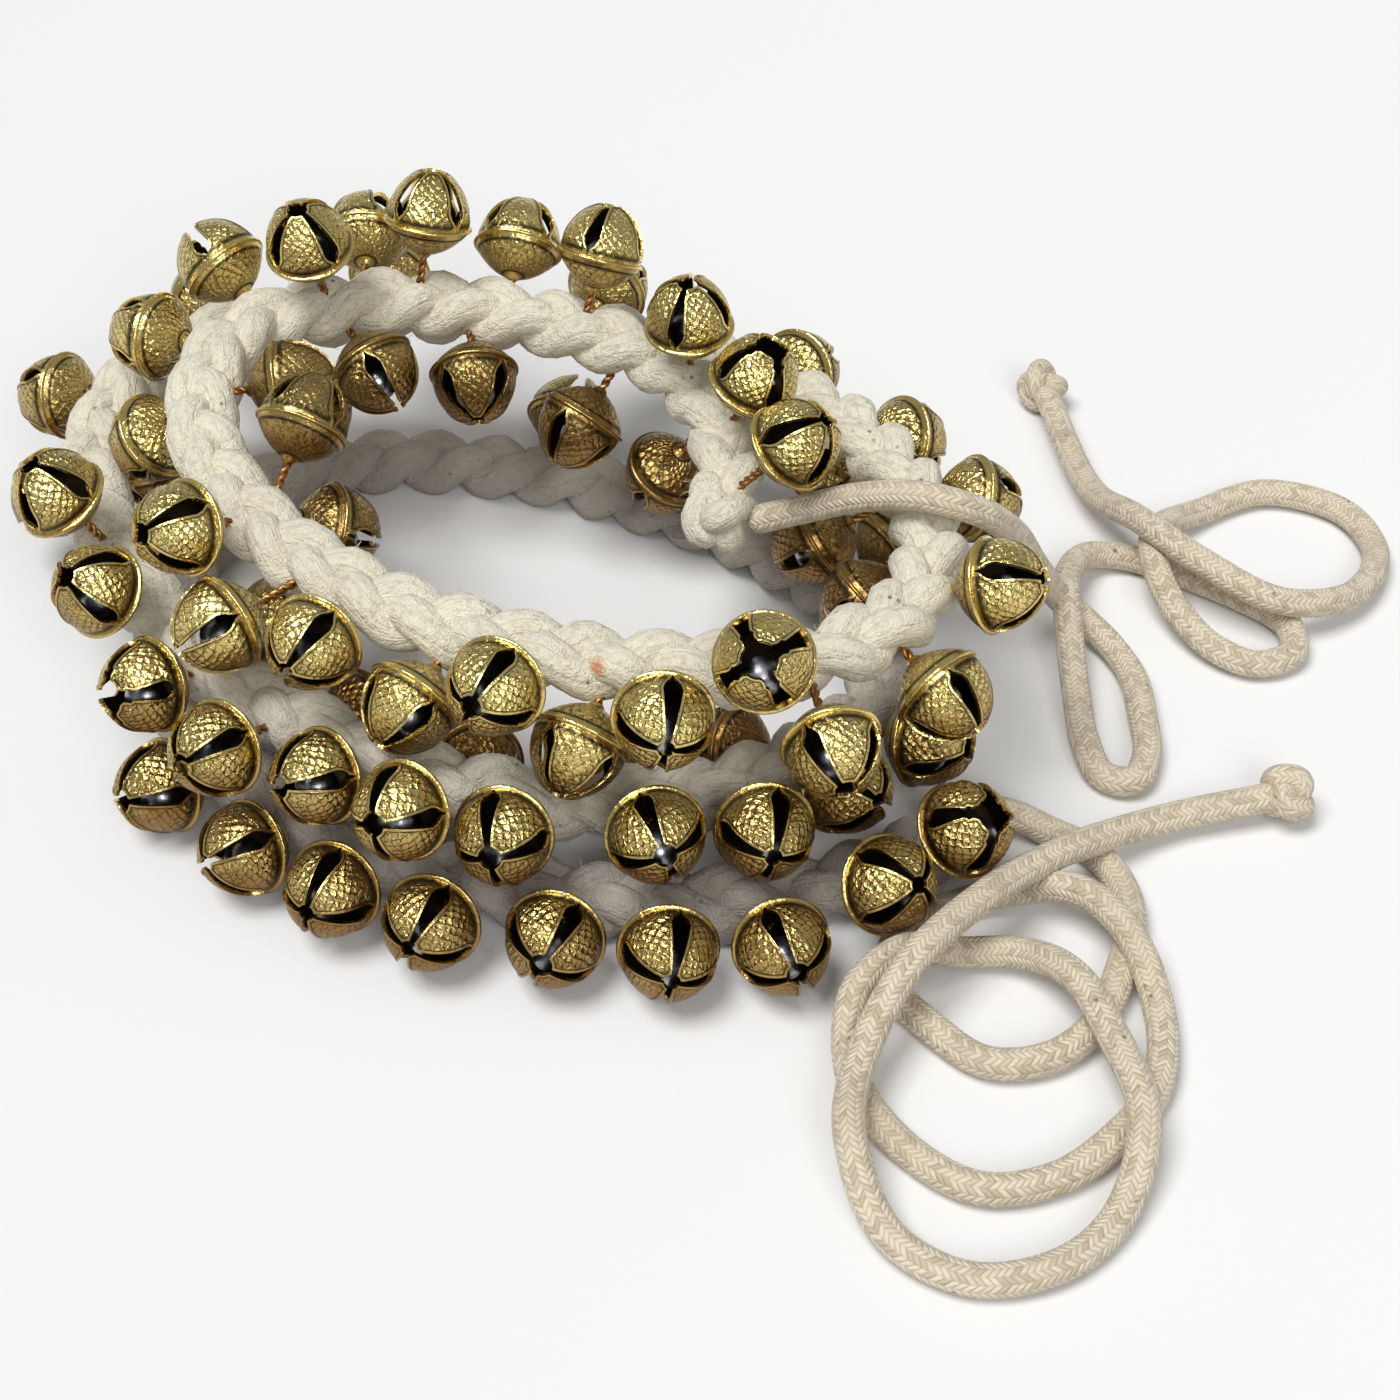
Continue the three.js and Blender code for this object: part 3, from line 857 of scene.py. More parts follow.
@dataclass(frozen=True)
class CoilLine:
    """Centre line of the wound strand, by station in degrees of turn, as the CAD source winds it."""

    shift: Vector
    centre: tuple[float, float] = (-7, 9)
    tilt: float = -29
    reaches: tuple[float, ...] = (32, 39, 63, 43, 72, 52, 88, 57, 66, 41, 70, 63, 90)
    rises: tuple[float, ...] = (28, 36, 41, 35, 33, 28, 24, 15, 8, 0, 0, 0, 0)
    base_height: float = 5.0
    start: float = 22.0
    end: float = 1064.0
    width: float = 12.0
    height: float = 11.0
    ring_step: float = 15.0

    @classmethod
    def on_mount(cls, mount: Vector, station: float) -> "CoilLine":
        """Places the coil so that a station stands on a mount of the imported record."""
        bare = cls(Vector()).point(station)
        return cls(Vector((mount.x - bare.x, mount.y - bare.y, 0)))

    def rise(self, station: float) -> float:
        """Height of the line over the base turn, a cubic through the quarter turns.

        Args:
            station: Station on the coil.

        Returns:
            The height in millimetres.
        """
        values, last = self.rises, len(self.rises) - 1
        i = min(max(math.floor(station / QUARTER_TURN), 0), last - 1)
        u = station / QUARTER_TURN - i
        leave = (values[i + 1] - values[max(i - 1, 0)]) / 2
        arrive = (values[min(i + 2, last)] - values[i]) / 2
        change = values[i + 1] - values[i]
        return (values[i] + leave * u + (3 * change - 2 * leave - arrive) * u ** 2
                + (leave + arrive - 2 * change) * u ** 3)

    def point(self, station: float) -> Vector:
        """Point of the line, on quarter-ellipse arcs.

        Args:
            station: Station on the coil.

        Returns:
            The point in metres.
        """
        quarter = min(max(math.floor(station / QUARTER_TURN), 0), len(self.reaches) - 2)
        first, second = self.reaches[quarter], self.reaches[quarter + 1]
        long, short = (first, second) if quarter % 2 == 0 else (second, first)
        angle, tilt = math.radians(station), math.radians(self.tilt)
        a, b = long * math.cos(angle), short * math.sin(angle)
        flat = Vector((self.centre[0] + a * math.cos(tilt) - b * math.sin(tilt),
                       self.centre[1] + a * math.sin(tilt) + b * math.cos(tilt),
                       self.base_height + max(self.rise(station), 0)))
        return flat * MM + self.shift

    def section(self, station: float) -> Section:
        """Section of the strand at a station."""
        along = (self.point(station + 0.5) - self.point(station - 0.5)).normalized()
        out = Vector((along.y, -along.x, 0)).normalized()
        return Section(self.point(station), along, out, out.cross(along))

    def facet(self, station: float) -> Section:
        """Section on the straight stretch between two rings of the CAD loft.

        Args:
            station: Station on the coil.

        Returns:
            The section, its directions not normalised.
        """
        whole = self.end - self.start
        steps = round(whole / self.ring_step)
        place = (station - self.start) / whole * steps
        i = min(max(math.floor(place), 0), steps - 1)
        a, b = (self.section(self.start + whole * k / steps) for k in (i, i + 1))
        share = place - i
        return Section(a.centre.lerp(b.centre, share), a.along.lerp(b.along, share),
                       a.out.lerp(b.out, share), a.up.lerp(b.up, share))

    def stations(self, step: float) -> list[tuple[float, float]]:
        """Stations at an even distance along the line.

        Args:
            step: The distance, in metres.

        Returns:
            Each station with its distance from the start.
        """
        count = 4000
        fine = [self.start + (self.end - self.start) * k / count for k in range(count + 1)]
        points = [self.point(s) for s in fine]
        found, run, following = [(fine[0], 0.0)], 0.0, step
        for (p, q), station in zip(pairwise(points), fine[1:]):
            run += (q - p).length
            if run >= following:
                found.append((station, run))
                following += step
        return found

    def reach(self, lift: float) -> float:
        """Distance from the strand's centre to its six-sided CAD surface.

        Args:
            lift: Direction from the centre, in degrees over outwards.

        Returns:
            The distance in metres.
        """
        flat = math.sin(math.pi / 3)
        corners = [Vector((self.width / 2 * math.cos(k * math.pi / 3),
                           self.height / 2 * math.sin(k * math.pi / 3) / flat)) for k in range(6)]
        ray = Vector((math.cos(math.radians(lift)), math.sin(math.radians(lift))))
        hits = []
        for a, b in zip(corners, [*corners[1:], corners[0]]):
            side = b - a
            spread = ray.x * side.y - ray.y * side.x
            if abs(spread) > 1e-9:
                hits.append((a.x * side.y - a.y * side.x) / spread)
        return min(hit for hit in hits if hit > 0) * MM


@dataclass
class PlaitedStrand:
    """The thick strand: three twisted cotton cords plaited along the coil."""

    line: CoilLine
    cord_diameter: float = 6.7
    swing: float = 3.2
    crossing: float = 2.1
    period: float = 33.0
    step: float = 1.3
    sides: int = 18
    looseness: float = 0.5
    unevenness: float = 0.12
    pieces: list[bpy.types.Object] = field(default_factory=list)

    def build(self) -> None:
        """Plaits the three cords."""
        stations = self.line.stations(self.step * MM)
        plump = self.cord_diameter / 2 * MM
        for k in range(3):
            path = []
            for station, run in stations:
                section = self.line.section(station)
                loose = self.looseness * noise.noise(Vector((run * 60, 7.0 * k, 3.0)))
                turn = 2 * math.pi * (run / (self.period * MM) + k / 3) + loose
                path.append(section.centre
                            + section.out * self.swing * MM * math.sin(turn)
                            + section.up * self.crossing * MM * math.sin(2 * turn))
            tube = swept_tube(f"plaited_cord_{k + 1}", path, lambda run, k=k: plump * (
                1 + self.unevenness * noise.noise(Vector((run * 130, 11.0 * k, 1.0)))), self.sides)
            tube.data.materials.append(PLAIT_COTTON.material())
            self.pieces.append(ruffled(tube))

    def dress(self) -> None:
        """Puts the plait in the CAD strand's place."""
        for tube in self.pieces:
            mounted(tube, "strand", "strand")
            log.info("%s: %d faces", tube.name, len(tube.data.polygons))


@dataclass
class LooseFibres:
    """Short cotton hairs that stand off the plait, clear of the bells."""

    plait: PlaitedStrand
    bells: list[bpy.types.Object]
    clear: float = 5.5
    lowest: float = 3.5
    count: int = 4200
    longest: float = 2.8
    thickness: float = 0.08

    def hair(self, dice: random.Random, root: Vector, normal: Vector) -> list[Vector]:
        """Three sides of a bent hair at its root and middle, and its tip.

        Args:
            dice: The source of its bend and length.
            root: The point that it grows from.
            normal: The direction off the surface there.

        Returns:
            Seven points in metres.
        """
        lean, bend = (Vector([dice.gauss(0, 1) for _ in range(3)]) for _ in range(2))
        length = self.longest * MM * dice.uniform(0.35, 1)
        rise = (normal + lean * 0.6).normalized()
        side = rise.orthogonal().normalized() * self.thickness / 2 * MM
        third = Matrix.Rotation(2 * math.pi / 3, 3, rise)
        sides = [side, third @ side, third @ third @ side]
        middle = root + rise * length * 0.5
        return [*(root - rise * 0.4 * MM + s for s in sides), *(middle + s * 0.8 for s in sides),
                middle + (rise + bend * 0.5) * length * 0.4]

    def build(self) -> None:
        """Sets the hairs on the plait as one mesh."""
        dice = random.Random(5)
        brass = [v.co for bell in self.bells for v in bell.data.vertices]
        near = KDTree(len(brass))
        for number, spot in enumerate(brass):
            near.insert(spot, number)
        near.balance()
        roots = [(v.co.copy(), v.normal.copy()) for tube in self.plait.pieces for v in tube.data.vertices
                 if v.co.z > self.lowest * MM and near.find(v.co)[2] > self.clear * MM]
        vertices: list[Vector] = []
        faces: list[tuple[int, ...]] = []
        for _ in range(self.count):
            n = len(vertices)
            vertices += self.hair(dice, *dice.choice(roots))
            faces.append((n + 2, n + 1, n))
            for a, b in ((0, 1), (1, 2), (2, 0)):
                faces += [(n + a, n + b, n + 3 + b, n + 3 + a), (n + 3 + a, n + 3 + b, n + 6)]
        mesh = bpy.data.meshes.new("loose_fibres")
        mesh.from_pydata(vertices, [], faces)
        mesh.materials.append(FIBRE.material())
        mounted(linked("loose_fibres", mesh), "strand")
        log.info("%s: %d hairs", mesh.name, self.count)


def knotted_loop(name: str, centre: Vector, axis: Vector, width: float, length: float,
                 cord: float, turn: float = 0.0) -> bpy.types.Object:
    """Tight knot: one cord drawn into a trefoil.

    Args:
        name: The object's name.
        centre: Middle of the knot.
        axis: Direction through the knot.
        width: Size across the axis, in metres.
        length: Size along the axis, in metres.
        cord: Diameter of the cord, in metres.
        turn: Turn about the axis, in degrees.

    Returns:
        The knot, with its mesh in place.
    """
    spread, lift = (width - cord) / 6, (length - cord) / 2
    place = Matrix.Translation(centre) @ axis.to_track_quat("Z", "Y").to_matrix().to_4x4()
    place = place @ Matrix.Rotation(math.radians(turn), 4, "Z")
    path = []
    steps, closed = 60, 0.985
    for k in range(steps + 1):
        t = 2 * math.pi * k / steps * closed
        path.append(place @ Vector((spread * (math.sin(t) + 2 * math.sin(2 * t)),
                                    spread * (math.cos(t) - 2 * math.cos(2 * t)),
                                    -lift * math.sin(3 * t))))
    return swept_tube(name, path, lambda run: cord / 2, 14, floor=0.0)


@dataclass
class EndKnot:
    """Knot that binds one end of the plait."""

    node: str
    line: CoilLine
    station: float
    backward: bool
    width: float = 13.0
    length: float = 10.0
    cord: float = 5.4
    turn: float = 20.0
    beyond: float = 4.6
    lowest: float = 6.4

    def build(self) -> None:
        """Ties the knot at the end of the strand."""
        section = self.line.section(self.station)
        axis = -section.along if self.backward else section.along
        centre = section.centre + axis * self.beyond * MM
        centre.z = max(centre.z, self.lowest * MM)
        knot = ruffled(knotted_loop(f"tied_{self.node}", centre, axis, self.width * MM, self.length * MM,
                                    self.cord * MM, self.turn))
        knot.data.materials.append(PLAIT_COTTON.material())
        mounted(knot, "strand", self.node)
        log.info("%s: tied", knot.name)


@dataclass
class TyingCord:
    """Loose braided cord with a stop knot at its far end."""

    node: str
    route: tuple[tuple[float, float, float], ...]
    shift: Vector
    diameter: float = 5.2
    step: float = 1.5
    sides: int = 14
    unevenness: float = 0.03
    knot_width: float = 10.8
    knot_length: float = 8.4
    knot_cord: float = 4.6
    knot_turn: float = 40.0
    knot_beyond: float = 3.6

    def build(self) -> None:
        """Lays the cord on its route and ties its stop knot."""
        points = [Vector(p) * MM + self.shift for p in self.route]
        path = curve_through(points, self.step * MM)
        cord = swept_tube(f"braided_{self.node}", path, lambda run: self.diameter / 2 * MM * (
            1 + self.unevenness * noise.noise(Vector((run * 90, 5.0, 2.0)))), self.sides)
        axis = (path[-1] - path[-4]).normalized()
        knot = knotted_loop(f"stop_knot_{self.node}", path[-1] + axis * self.knot_beyond * MM, axis,
                            self.knot_width * MM, self.knot_length * MM, self.knot_cord * MM, self.knot_turn)
        for piece, node in ((cord, self.node), (knot, f"{self.node}_knot")):
            piece.data.materials.append(CORD_COTTON.material())
            mounted(piece, "strand", node)
        log.info("%s: %.0f mm long", cord.name, path_length(path) / MM)


# Routes of the tying cords, from the plait to the stop knot, as the CAD source lays them
UPPER_ROUTE = (
    (32.5, 3, 34), (40, 2, 37), (49.5, -2.5, 43), (59, -7.5, 47), (68, -8, 44.5), (75.5, -2, 35),
    (81, 5.5, 22), (86.5, 11, 10.5), (92, 11, 4.5), (96.5, 5.5, 3), (99.5, -3, 3), (100, -14, 3),
    (99.5, -24, 3), (96.3, -30.3, 3), (91.5, -29.3, 3), (89.2, -21, 3), (88.8, -8, 4), (88.5, 8, 9),
    (90.3, 21.5, 7), (95, 29.5, 4.5), (102, 31, 3), (112, 26, 3), (122.5, 18.8, 3), (129.7, 11.3, 3),
    (129.2, 3, 3), (122, 0.2, 3), (114.5, 4.2, 4), (108.5, 13, 6.5), (106, 23, 9), (108.5, 34.5, 7),
    (118, 44.5, 3), (132, 51, 3), (146, 45, 3), (150, 32, 3), (142, 17, 5), (127, 11, 9), (113, 18, 13),
    (103.5, 30, 13), (97.5, 46, 7), (92, 80, 5.5))
LOWER_ROUTE = (
    (68.8, -41.3, 6.3), (74, -40.3, 5), (81, -42.8, 3), (87, -47, 3), (91, -54, 3), (92, -63, 3),
    (89, -74, 3), (84, -85, 3), (76, -92, 3), (66, -93, 3), (58, -86, 3), (52, -77, 3), (54, -67, 3),
    (63, -60, 3), (74, -58, 5), (83, -62, 9), (90, -70, 8), (94, -82, 3), (92, -97, 3),
    (85, -107, 3), (75, -115, 3), (63, -117, 3), (52, -109, 3), (45, -96, 4), (46, -84, 9),
    (54, -75, 9), (64, -71, 4), (73, -72, 5), (80, -80, 9), (85, -93, 9), (88, -108, 8),
    (83, -122, 3), (73, -131, 3), (60, -133, 3), (49, -126, 4), (44, -113, 9), (46, -98, 9),
    (54, -83, 14), (66, -69, 14), (80, -55, 10), (99, -42, 5), (118, -37, 5.5))


# Bells


@dataclass(frozen=True)
class BellSeat:
    """Where a bell sits on the strand and how it is turned."""

    at: float
    lift: float
    lean: float
    shank: Shank
    spin: float

    @property
    def inward(self) -> bool:
        """Whether the bell hangs inside the coil, where its brass gets painted shade."""
        return INSIDE_LIFT[0] < self.lift < INSIDE_LIFT[1]

    def pose(self, line: CoilLine) -> Matrix:
        """Pose of the bell, its foot on the strand and Z out of its mouth, not yet spun.

        Args:
            line: The coil.

        Returns:
            The pose.
        """
        section = line.facet(self.at)
        lift, lean = math.radians(self.lift), math.radians(self.lean)
        sideways = section.out * math.cos(lift) + section.up * math.sin(lift)
        axis = (sideways * math.cos(lean) + section.along * math.sin(lean)).normalized()
        across = (section.along - axis * section.along.dot(axis)).normalized()
        foot = section.centre + axis * (line.reach(self.lift) + FOOT_GAP * MM) / math.cos(lean)
        turned = Matrix((across, axis.cross(across), axis)).transposed()
        return Matrix.Translation(foot) @ turned.to_4x4()


S, M, L = Shank.SHORT, Shank.MIDDLE, Shank.LONG

# Bells of the CAD model, in its order: station, lift, lean, shank, spin
SWINGING = (
    (45, 70, 0, S, 10), (70, 94, 6, S, 35), (102, 58, 0, S, 0), (116, 32, 4, S, 50),
    (133, 72, -6, M, 45), (144, 20, -8, M, 20), (168, 28, 4, S, 55), (183, -6, 0, M, 85),
    (203, -46, -10, S, 0), (239, 24, 6, M, 65), (264, 6, 8, S, 65), (280, -20, -10, S, 40),
    (291, 18, -7, M, 70), (302, -31, -16, S, 30), (308, 12, 7, M, 80), (326, 44, -16, M, 20),
    (332, -8, -7, L, 40), (351, -20, -3, S, 15), (365, 22, 0, S, 40), (399, -25, -4, S, 30),
    (417, -30, -4, S, 5), (436, -21, 3, S, 45), (464, 2, 0, S, 60), (492, -2, 0, S, 20),
    (517, -7, 0, M, 75), (545, -12, 2, S, 70), (561, -46, -3, S, 20), (597, 48, 2, S, 80),
    (609, 19, 0, S, 30), (621, 19, 0, L, 50), (635, 23, -18, S, 25), (656, 21, -5, M, 15),
    (673, 23, 0, M, 20), (691, 17, -21, L, 70), (699, 20, 0, S, 40), (714, 15, 3, S, 10),
    (768, 19, 0, S, 50), (829, 19, 0, S, 15), (967, 17, 6, S, 25), (985, 17, -10, S, 45),
    (994, 18, 4, M, 85), (1005, 17, 0, M, 70), (1017, 18, -2, S, 60), (1027, 16, 5, M, 75),
    (1038, 16, 6, M, 20), (1049, 40, 14, S, 35), (1061, 52, 10, S, 60))

# Bells that are held still in the crowd or lie inside the coil, only in this visual model
STILL = (
    (152, 100, 14, M, 25), (255, -5, -9, L, 50), (253, -86, -20, M, 10), (426, -69, 5, L, 70),
    (23, 50, 0, L, 35), (646, 26, -12, L, 15), (201, 174, -4, S, 60), (151, 206, -17, S, 20),
    (123, 206, -14, S, 45), (161, 257, -1, L, 80), (92, 221, 7, M, 5), (57, 252, 13, L, 55),
    (397, 215, 14, L, 30), (236, 210, 17, M, 65), (382, 226, -13, S, 40), (702, 202, -16, S, 15),
    (651, 209, -23, S, 55), (621, 210, 17, S, 35), (241, 147, -26, L, 75), (666, 207, 5, M, 25),
    (952, 163, 1, L, 10), (584, 63, -6, M, 40), (545, -107, 7, S, 5))


@dataclass
class BellMaker:
    """Models one bell for each shank length and sets copies of it on the strand."""

    line: CoilLine
    body: float = 8.0
    back: float = 5.5
    flange: float = 0.75
    front: float = 9.5
    wall: float = 0.8
    slot_foot: float = 1.1
    slot_wide: float = 1.9
    slot_neck: float = 0.45
    slot_round: float = 0.2
    tip_round: float = 2.3
    tip_gap: float = 0.2
    border: float = 0.5
    border_rise: float = 0.22
    petal_grid: int = 16
    crowding: tuple[float, float] = (1.8, 1.5)
    map_radius: float = 6.5
    wire_radius: float = 0.46
    wire_spread: float = 0.42
    wire_twist: float = 1.9
    wire_root: float = 3.5
    wire_in_bell: float = 0.6
    ball_radius: float = 3.6
    ball_ahead: float = 2.3
    ball_aside: float = 2.2
    squeezed: tuple[float, float] = (0.95, 0.985)
    mouth_shares: tuple[int, ...] = (2, 4, 5)
    templates: dict[tuple[Shank, Mouth], bpy.types.Object] = field(default_factory=dict)
    bells: list[bpy.types.Object] = field(default_factory=list)
    ball: bpy.types.Object | None = None

    def turned_shell(self, profile: list[tuple[float, float]], sides: int = 40) -> bpy.types.Object:
        """Shell of revolution, a circle drawn out row by row and welded where the rows meet.

        Args:
            profile: Radius and height of each row, in millimetres.
            sides: Number of sides.

        Returns:
            The shell.
        """
        bpy.ops.object.select_all(action="DESELECT")
        bpy.ops.mesh.primitive_circle_add(vertices=sides, radius=profile[0][0] * MM)
        shell = bpy.context.object
        bpy.ops.object.mode_set(mode="EDIT")
        bpy.ops.mesh.select_all(action="SELECT")
        bpy.ops.transform.translate(value=(0, 0, profile[0][1] * MM))
        for (r0, z0), (r1, z1) in pairwise(profile):
            bpy.ops.mesh.extrude_region_move(
                TRANSFORM_OT_translate={"value": (0, 0, (z1 - z0) * MM)})
            bpy.ops.transform.resize(value=(r1 / r0, r1 / r0, 1), center_override=(0, 0, z1 * MM))
        bpy.ops.mesh.select_all(action="SELECT")
        bpy.ops.mesh.remove_doubles(threshold=0.01 * MM)
        bpy.ops.mesh.normals_make_consistent(inside=False)
        bpy.ops.object.mode_set(mode="OBJECT")
        return shell

    def dress(self, obj: bpy.types.Object, finish: Finish, relief: Callable[[Vector], float],
              upward: Callable[[Vector], float]) -> None:
        """Gives a bell's part its finish, its scale map in millimetres and its relief mask.

        Args:
            obj: The part, in the bell's own frame.
            finish: Its finish.
            relief: Share of the pressed pattern at a point in millimetres.
            upward: Distance along the pattern's rows at a point in millimetres.
        """
        mesh = obj.data
        if not mesh.materials:
            mesh.materials.append(finish.material())
        mask = mesh.attributes.new("relief", "FLOAT", "POINT")
        for vertex in mesh.vertices:
            mask.data[vertex.index].value = relief(vertex.co / MM)
        layer = mesh.uv_layers.get("UVMap") or mesh.uv_layers.new(name="UVMap")
        for face in mesh.polygons:
            middle = math.atan2(face.center.y, face.center.x)
            for loop in face.loop_indices:
                point = mesh.vertices[mesh.loops[loop].vertex_index].co / MM
                turn = math.atan2(point.y, point.x)
                turn += 2 * math.pi * round((middle - turn) / (2 * math.pi))
                layer.data[loop].uv = (turn * self.map_radius, upward(point))

    def slot_half(self, along: float) -> float:
        """Half width of a slot, from its round end at the rim (0) to the petals' tips (1)."""
        straight = self.slot_wide + (self.slot_neck - self.slot_wide) * along
        return straight * math.sqrt(min(along / self.slot_round, 1))

    def petal(self, mouth: Mouth) -> bpy.types.Object:
        """One petal of the front half, a grid wrapped on the dome between two slots.

        Args:
            mouth: How far the petals leave the mouth open.

        Returns:
            The petal, a rounded tongue with a raised border and the wall's thickness.
        """
        bpy.ops.object.select_all(action="DESELECT")
        bpy.ops.mesh.primitive_grid_add(
            x_subdivisions=self.petal_grid, y_subdivisions=self.petal_grid, size=2)
        sheet = bpy.context.object
        low, high = math.asin(self.slot_foot / self.front), math.acos(mouth.value / self.body)
        mask = sheet.data.attributes.new("relief", "FLOAT", "POINT")
        maps: list[tuple[float, float]] = []
        for vertex in sheet.data.vertices:
            x, y = vertex.co.x, (vertex.co.y + 1) / 2
            across = math.copysign(1 - (1 - abs(x)) ** self.crowding[0], x)
            tilt = high * (1 - (1 - y) ** self.crowding[1])
            radius = self.body * math.cos(tilt)
            left = (high - tilt) * (self.body + self.front) / 2 + self.tip_gap
            half = radius * math.pi / 4 - self.slot_half(max((tilt - low) / (high - low), 0.0))
            if left < self.tip_round:
                half = min(half, math.sqrt(2 * self.tip_round * left - left ** 2))
            turn = math.pi / 4 + across * half / radius
            edge = left - self.tip_gap
            if tilt > low:
                edge = min((1 - abs(across)) * half, edge)
            border = 1 - clamped((edge - self.border + 0.2) / 0.4)
            up = Vector((math.cos(turn) * math.cos(tilt), math.sin(turn) * math.cos(tilt), math.sin(tilt)))
            spot = Vector((radius * math.cos(turn), radius * math.sin(turn),
                           self.back + self.flange + self.front * math.sin(tilt)))
            vertex.co = (spot + up * self.border_rise * border) * MM
            mask.data[vertex.index].value = (1 - border) * clamped((tilt - 0.06) / 0.1)
            maps.append((across * half, -tilt * self.front))
        sheet.data.update()
        face = sheet.data.polygons[0]
        if face.normal.dot(face.center - Vector((0, 0, self.back * MM))) < 0:
            sheet.data.flip_normals()
        layer = sheet.data.uv_layers["UVMap"]
        for loop, corner in zip(layer.data, sheet.data.loops):
            loop.uv = maps[corner.vertex_index]
        sheet.data.materials.append(BRASS.material())
        sheet.data.materials.append(INSIDE.material())
        # Inner faces take the near-black inside: tarnish with painted shade
        apply_modifier(sheet, "SOLIDIFY", thickness=self.wall * MM, offset=-1.0, material_offset=1,
                       material_offset_rim=0, use_even_offset=True)
        apply_modifier(sheet, "BEVEL", width=0.2 * MM, segments=2, limit_method="ANGLE",
                       angle_limit=math.radians(50), harden_normals=False)
        return sheet

    def head(self, mouth: Mouth) -> bpy.types.Object:
        """The brass body: the pressed back, the crimped rim and the four petals.

        Args:
            mouth: How far the petals leave the mouth open.

        Returns:
            The body, its back at the origin and its mouth along Z.
        """
        back = self.turned_shell([
            (0.75, -0.5), (1.25, -0.1), (1.5, 0.35), (2.6, 0.75), (4.2, 1.6), (5.7, 2.75), (7.0, 4.05),
            (7.8, 5.1), (8.05, 5.7)])
        back.data.materials.append(BRASS.material())
        back.data.materials.append(INSIDE.material())
        # Inner faces take the near-black inside: tarnish with painted shade
        apply_modifier(back, "SOLIDIFY", thickness=self.wall * MM, offset=-1.0, material_offset=1,
                       material_offset_rim=0)

        def aside(point: Vector) -> float:
            """Distance from the bell's axis."""
            return math.hypot(point.x, point.y)

        # No pattern on the button in the middle of the back, and none along the rim
        self.dress(back, BRASS, lambda p: clamped((aside(p) - 1.9) / 0.5) * clamped((7.6 - aside(p)) / 0.4),
                   lambda p: aside(p) * 1.1)
        rim = self.turned_shell([
            (7.6, 5.42), (8.1, 5.48), (8.4, 5.6), (8.5, 5.8), (8.45, 6.0), (8.25, 6.14), (7.9, 6.26),
            (7.5, 6.34), (7.45, 5.9), (7.6, 5.42)])
        self.dress(rim, BRASS, lambda p: 0.0, lambda p: p.z)
        petals = [self.petal(mouth)]
        for quarter in (1, 2, 3):
            turned = Matrix.Rotation(quarter * math.pi / 2, 4, "Z")
            petals.append(copied(petals[0], f"petal_{quarter}", turned))
        return smoothed(joined("bell_head", [back, rim, *petals]), 42)

    def wire(self, shank: Shank) -> list[bpy.types.Object]:
        """Twists two wires into a shank, from inside the plait to the bell's back.

        Args:
            shank: The shank's length.

        Returns:
            Both wires, with the strand's surface at height zero.
        """
        wires, steps = [], 14
        low, high = -self.wire_root, shank.value + self.wire_in_bell
        for side in (0.0, math.pi):
            path = []
            for k in range(steps + 1):
                z = low + (high - low) * k / steps
                turn = side + z * self.wire_twist
                path.append(Vector((self.wire_spread * math.cos(turn), self.wire_spread * math.sin(turn), z))
                            * MM)
            wire = swept_tube("shank_wire", path, lambda run: self.wire_radius * MM, 8)
            wire.data.materials.append(WIRE.material())
            wire.data.attributes.new("relief", "FLOAT", "POINT")
            wires.append(wire)
        return wires

    def build(self) -> None:
        """Models the bell with each mouth on each shank length, and the steel ball."""
        for mouth in Mouth:
            head = self.head(mouth)
            for shank in Shank:
                body = copied(head, "bell_body", Matrix.Translation((0, 0, shank.value * MM)))
                self.templates[shank, mouth] = joined(
                    f"{mouth.name}_bell_on_{shank.name}_shank".lower(), [body, *self.wire(shank)])
            bpy.data.objects.remove(head)
        bpy.ops.object.select_all(action="DESELECT")
        bpy.ops.mesh.primitive_ico_sphere_add(subdivisions=3, radius=self.ball_radius * MM)
        self.ball = bpy.context.object
        for vertex in self.ball.data.vertices:
            vertex.co *= 1 + 0.012 * noise.noise(vertex.co * 700)
        self.ball.data.materials.append(STEEL.material())
        smoothed(self.ball, 60)

    def hang(self, seat: BellSeat, name: str, body: str, node: str | None, ball_body: str,
             ball_node: str | None) -> None:
        """Sets one bell and its ball on the strand.

        Args:
            seat: Where it sits.
            name: The bell's name.
            body: The CAD body that it rides on.
            node: The CAD bell that it stands for, if any.
            ball_body: The CAD body that its ball rides on.
            ball_node: The CAD pellet that the ball stands for, if any.
        """
        pose = seat.pose(self.line)
        dice = random.Random(name)
        uneven = Matrix.Diagonal((dice.uniform(*self.squeezed), dice.uniform(*self.squeezed), 1, 1))
        mouth = dice.choices(list(Mouth), weights=self.mouth_shares)[0]
        bell = copied(self.templates[seat.shank, mouth], name,
                      pose @ Matrix.Rotation(math.radians(seat.spin), 4, "Z") @ uneven)
        self.bells.append(bell)
        # Painted shade: bells inside the coil are marked to be browner
        darker = bell.data.attributes.new("darker", "FLOAT", "POINT")
        darker.data.foreach_set("value", [float(seat.inward)] * len(bell.data.vertices))
        down = pose.to_3x3().inverted() @ Vector((0, 0, -1))
        if ball_node:
            down.z = 0
        rest = down.normalized() * self.ball_aside
        rest.z += seat.shank.value + self.back + self.ball_ahead
        ball = copied(self.ball, f"ball_in_{name}", pose @ Matrix.Translation(rest * MM))
        mounted(bell, body, node)
        mounted(ball, ball_body, ball_node)
        log.info("%s: on %s, its ball on %s", name, body, ball_body)

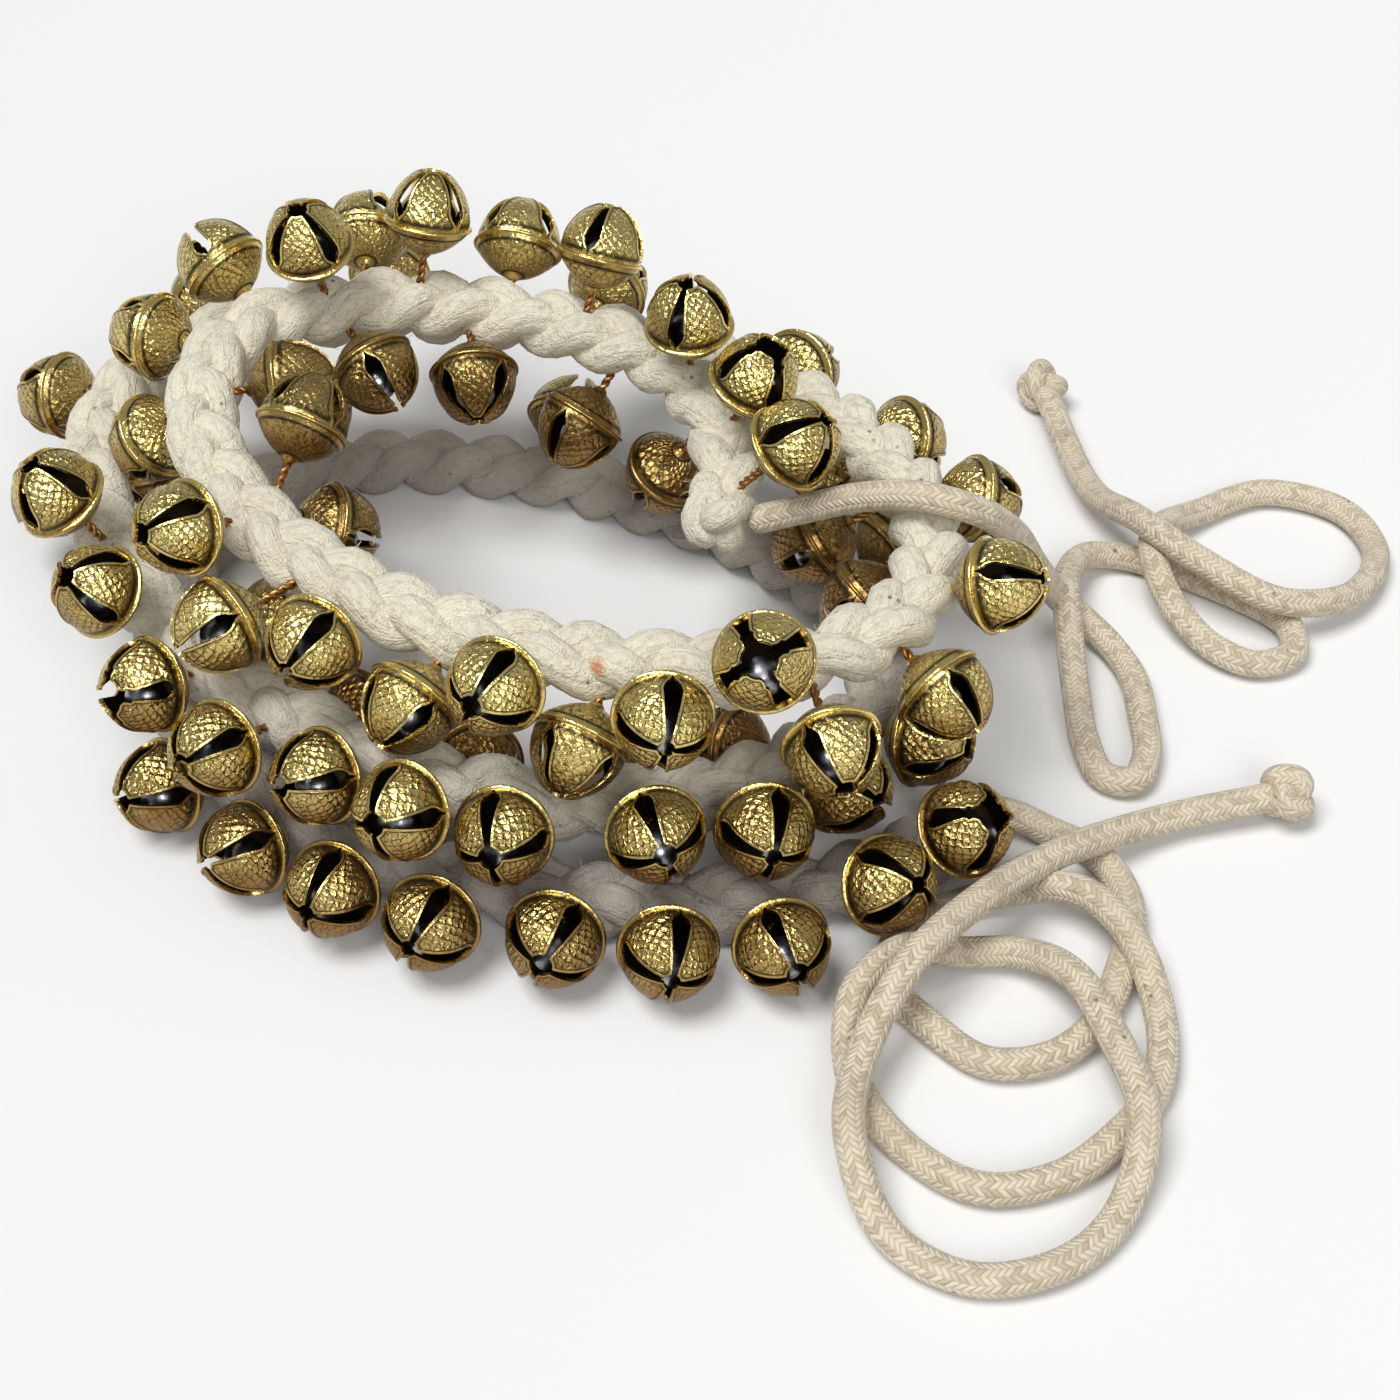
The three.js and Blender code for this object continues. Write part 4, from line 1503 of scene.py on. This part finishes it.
    def hang_all(self) -> None:
        """Sets every bell on the strand and clears the templates away."""
        for number, row in enumerate(SWINGING, 1):
            body, pellet = f"bell_{number:02d}", f"pellet_{number:02d}"
            loose = pellet in frame["nodes"]
            self.hang(BellSeat(*row), f"brass_{body}", body, body, pellet if loose else body,
                      pellet if loose else None)
        for number, row in enumerate(STILL, 1):
            self.hang(BellSeat(*row), f"brass_still_bell_{number:02d}", "strand", None, "strand", None)
        for template in (*self.templates.values(), self.ball):
            bpy.data.objects.remove(template)
        log.info("%d bells swing, %d are still", len(SWINGING), len(STILL))


# Studio


@dataclass
class Studio:
    """Camera, floor and soft light; the camera's place in millimetres, the rest in metres."""

    shift: Vector
    eye: tuple[float, float, float] = (21.87, -354.83, 313.89)
    down: float = 42.0
    view_angle: float = 30.0
    clip: tuple[float, float] = (0.01, 200.0)
    floor_size: float = 160.0
    middle: tuple[float, float, float] = (0.02, 0.0, 0.02)
    key_at: tuple[float, float, float] = (-0.5, -0.35, 1.5)
    key_energy: float = 2.15
    key_angle: float = 30.0
    front_at: tuple[float, float, float] = (0.45, -1.7, 1.4)
    front_energy: float = 13.5
    front_size: float = 0.9
    sky: float = 0.3

    def build(self) -> None:
        """Sets up the camera, the floor, the lamps and the world."""
        scene = bpy.context.scene
        camera = bpy.data.objects.new("camera", bpy.data.cameras.new("camera"))
        scene.collection.objects.link(camera)
        camera.location = Vector(self.eye) * MM + self.shift
        camera.rotation_euler = (math.radians(90 - self.down), 0, 0)
        camera.data.angle = math.radians(self.view_angle)
        camera.data.clip_start, camera.data.clip_end = self.clip
        scene.camera = camera
        scene.view_settings.view_transform = "Standard"
        bpy.ops.object.select_all(action="DESELECT")
        bpy.ops.mesh.primitive_plane_add(size=self.floor_size)
        floor = bpy.context.object
        floor.name = "studio_floor"
        floor.data.materials.append(PaleFloor("studio_white").material())
        key = bpy.data.lights.new("key_lamp", "SUN")
        key.energy, key.angle = self.key_energy, math.radians(self.key_angle)
        self.hang_lamp(key, self.key_at)
        front = bpy.data.lights.new("front_lamp", "AREA")
        front.energy, front.size = self.front_energy, self.front_size
        self.hang_lamp(front, self.front_at)
        self.world()

    def hang_lamp(self, data: bpy.types.Light, place: tuple[float, float, float]) -> None:
        """Hangs a lamp so that it faces the middle of the object.

        Args:
            data: The lamp.
            place: Where it hangs.
        """
        lamp = bpy.data.objects.new(data.name, data)
        bpy.context.scene.collection.objects.link(lamp)
        lamp.location = place
        lamp.rotation_euler = (Vector(self.middle) - Vector(place)).to_track_quat("-Z", "Y").to_euler()

    def world(self) -> None:
        """Plain white sky, softer than the lamps."""
        world = bpy.data.worlds.new("studio_sky")
        bpy.context.scene.world = world
        world.use_nodes = True
        world.node_tree.nodes.clear()
        sheet = NodeSheet(world.node_tree)
        sky = sheet.add("ShaderNodeBackground", {"Color": (1, 1, 1, 1), "Strength": self.sky})
        sheet.add("ShaderNodeOutputWorld", {"Surface": sky.outputs[0]})


def main() -> None:
    """Builds the classes in order."""
    logging.basicConfig(level=logging.INFO, format="%(message)s")
    mount = next(m for m in frame["record"]["mounts"] if m["name"] == "base_rest")
    line = CoilLine.on_mount(Vector(mount["pos_m"]), BASE_STATION)
    Studio(line.shift).build()
    for node, route in (("upper_cord", UPPER_ROUTE), ("lower_cord", LOWER_ROUTE)):
        TyingCord(node, route, line.shift).build()
    plait = PlaitedStrand(line)
    plait.build()
    plait.dress()
    EndKnot("upper_end_knot", line, line.start, True).build()
    EndKnot("lower_end_knot", line, line.end, False).build()
    maker = BellMaker(line)
    maker.build()
    maker.hang_all()
    LooseFibres(plait, maker.bells).build()


if __name__ == "__main__":
    main()
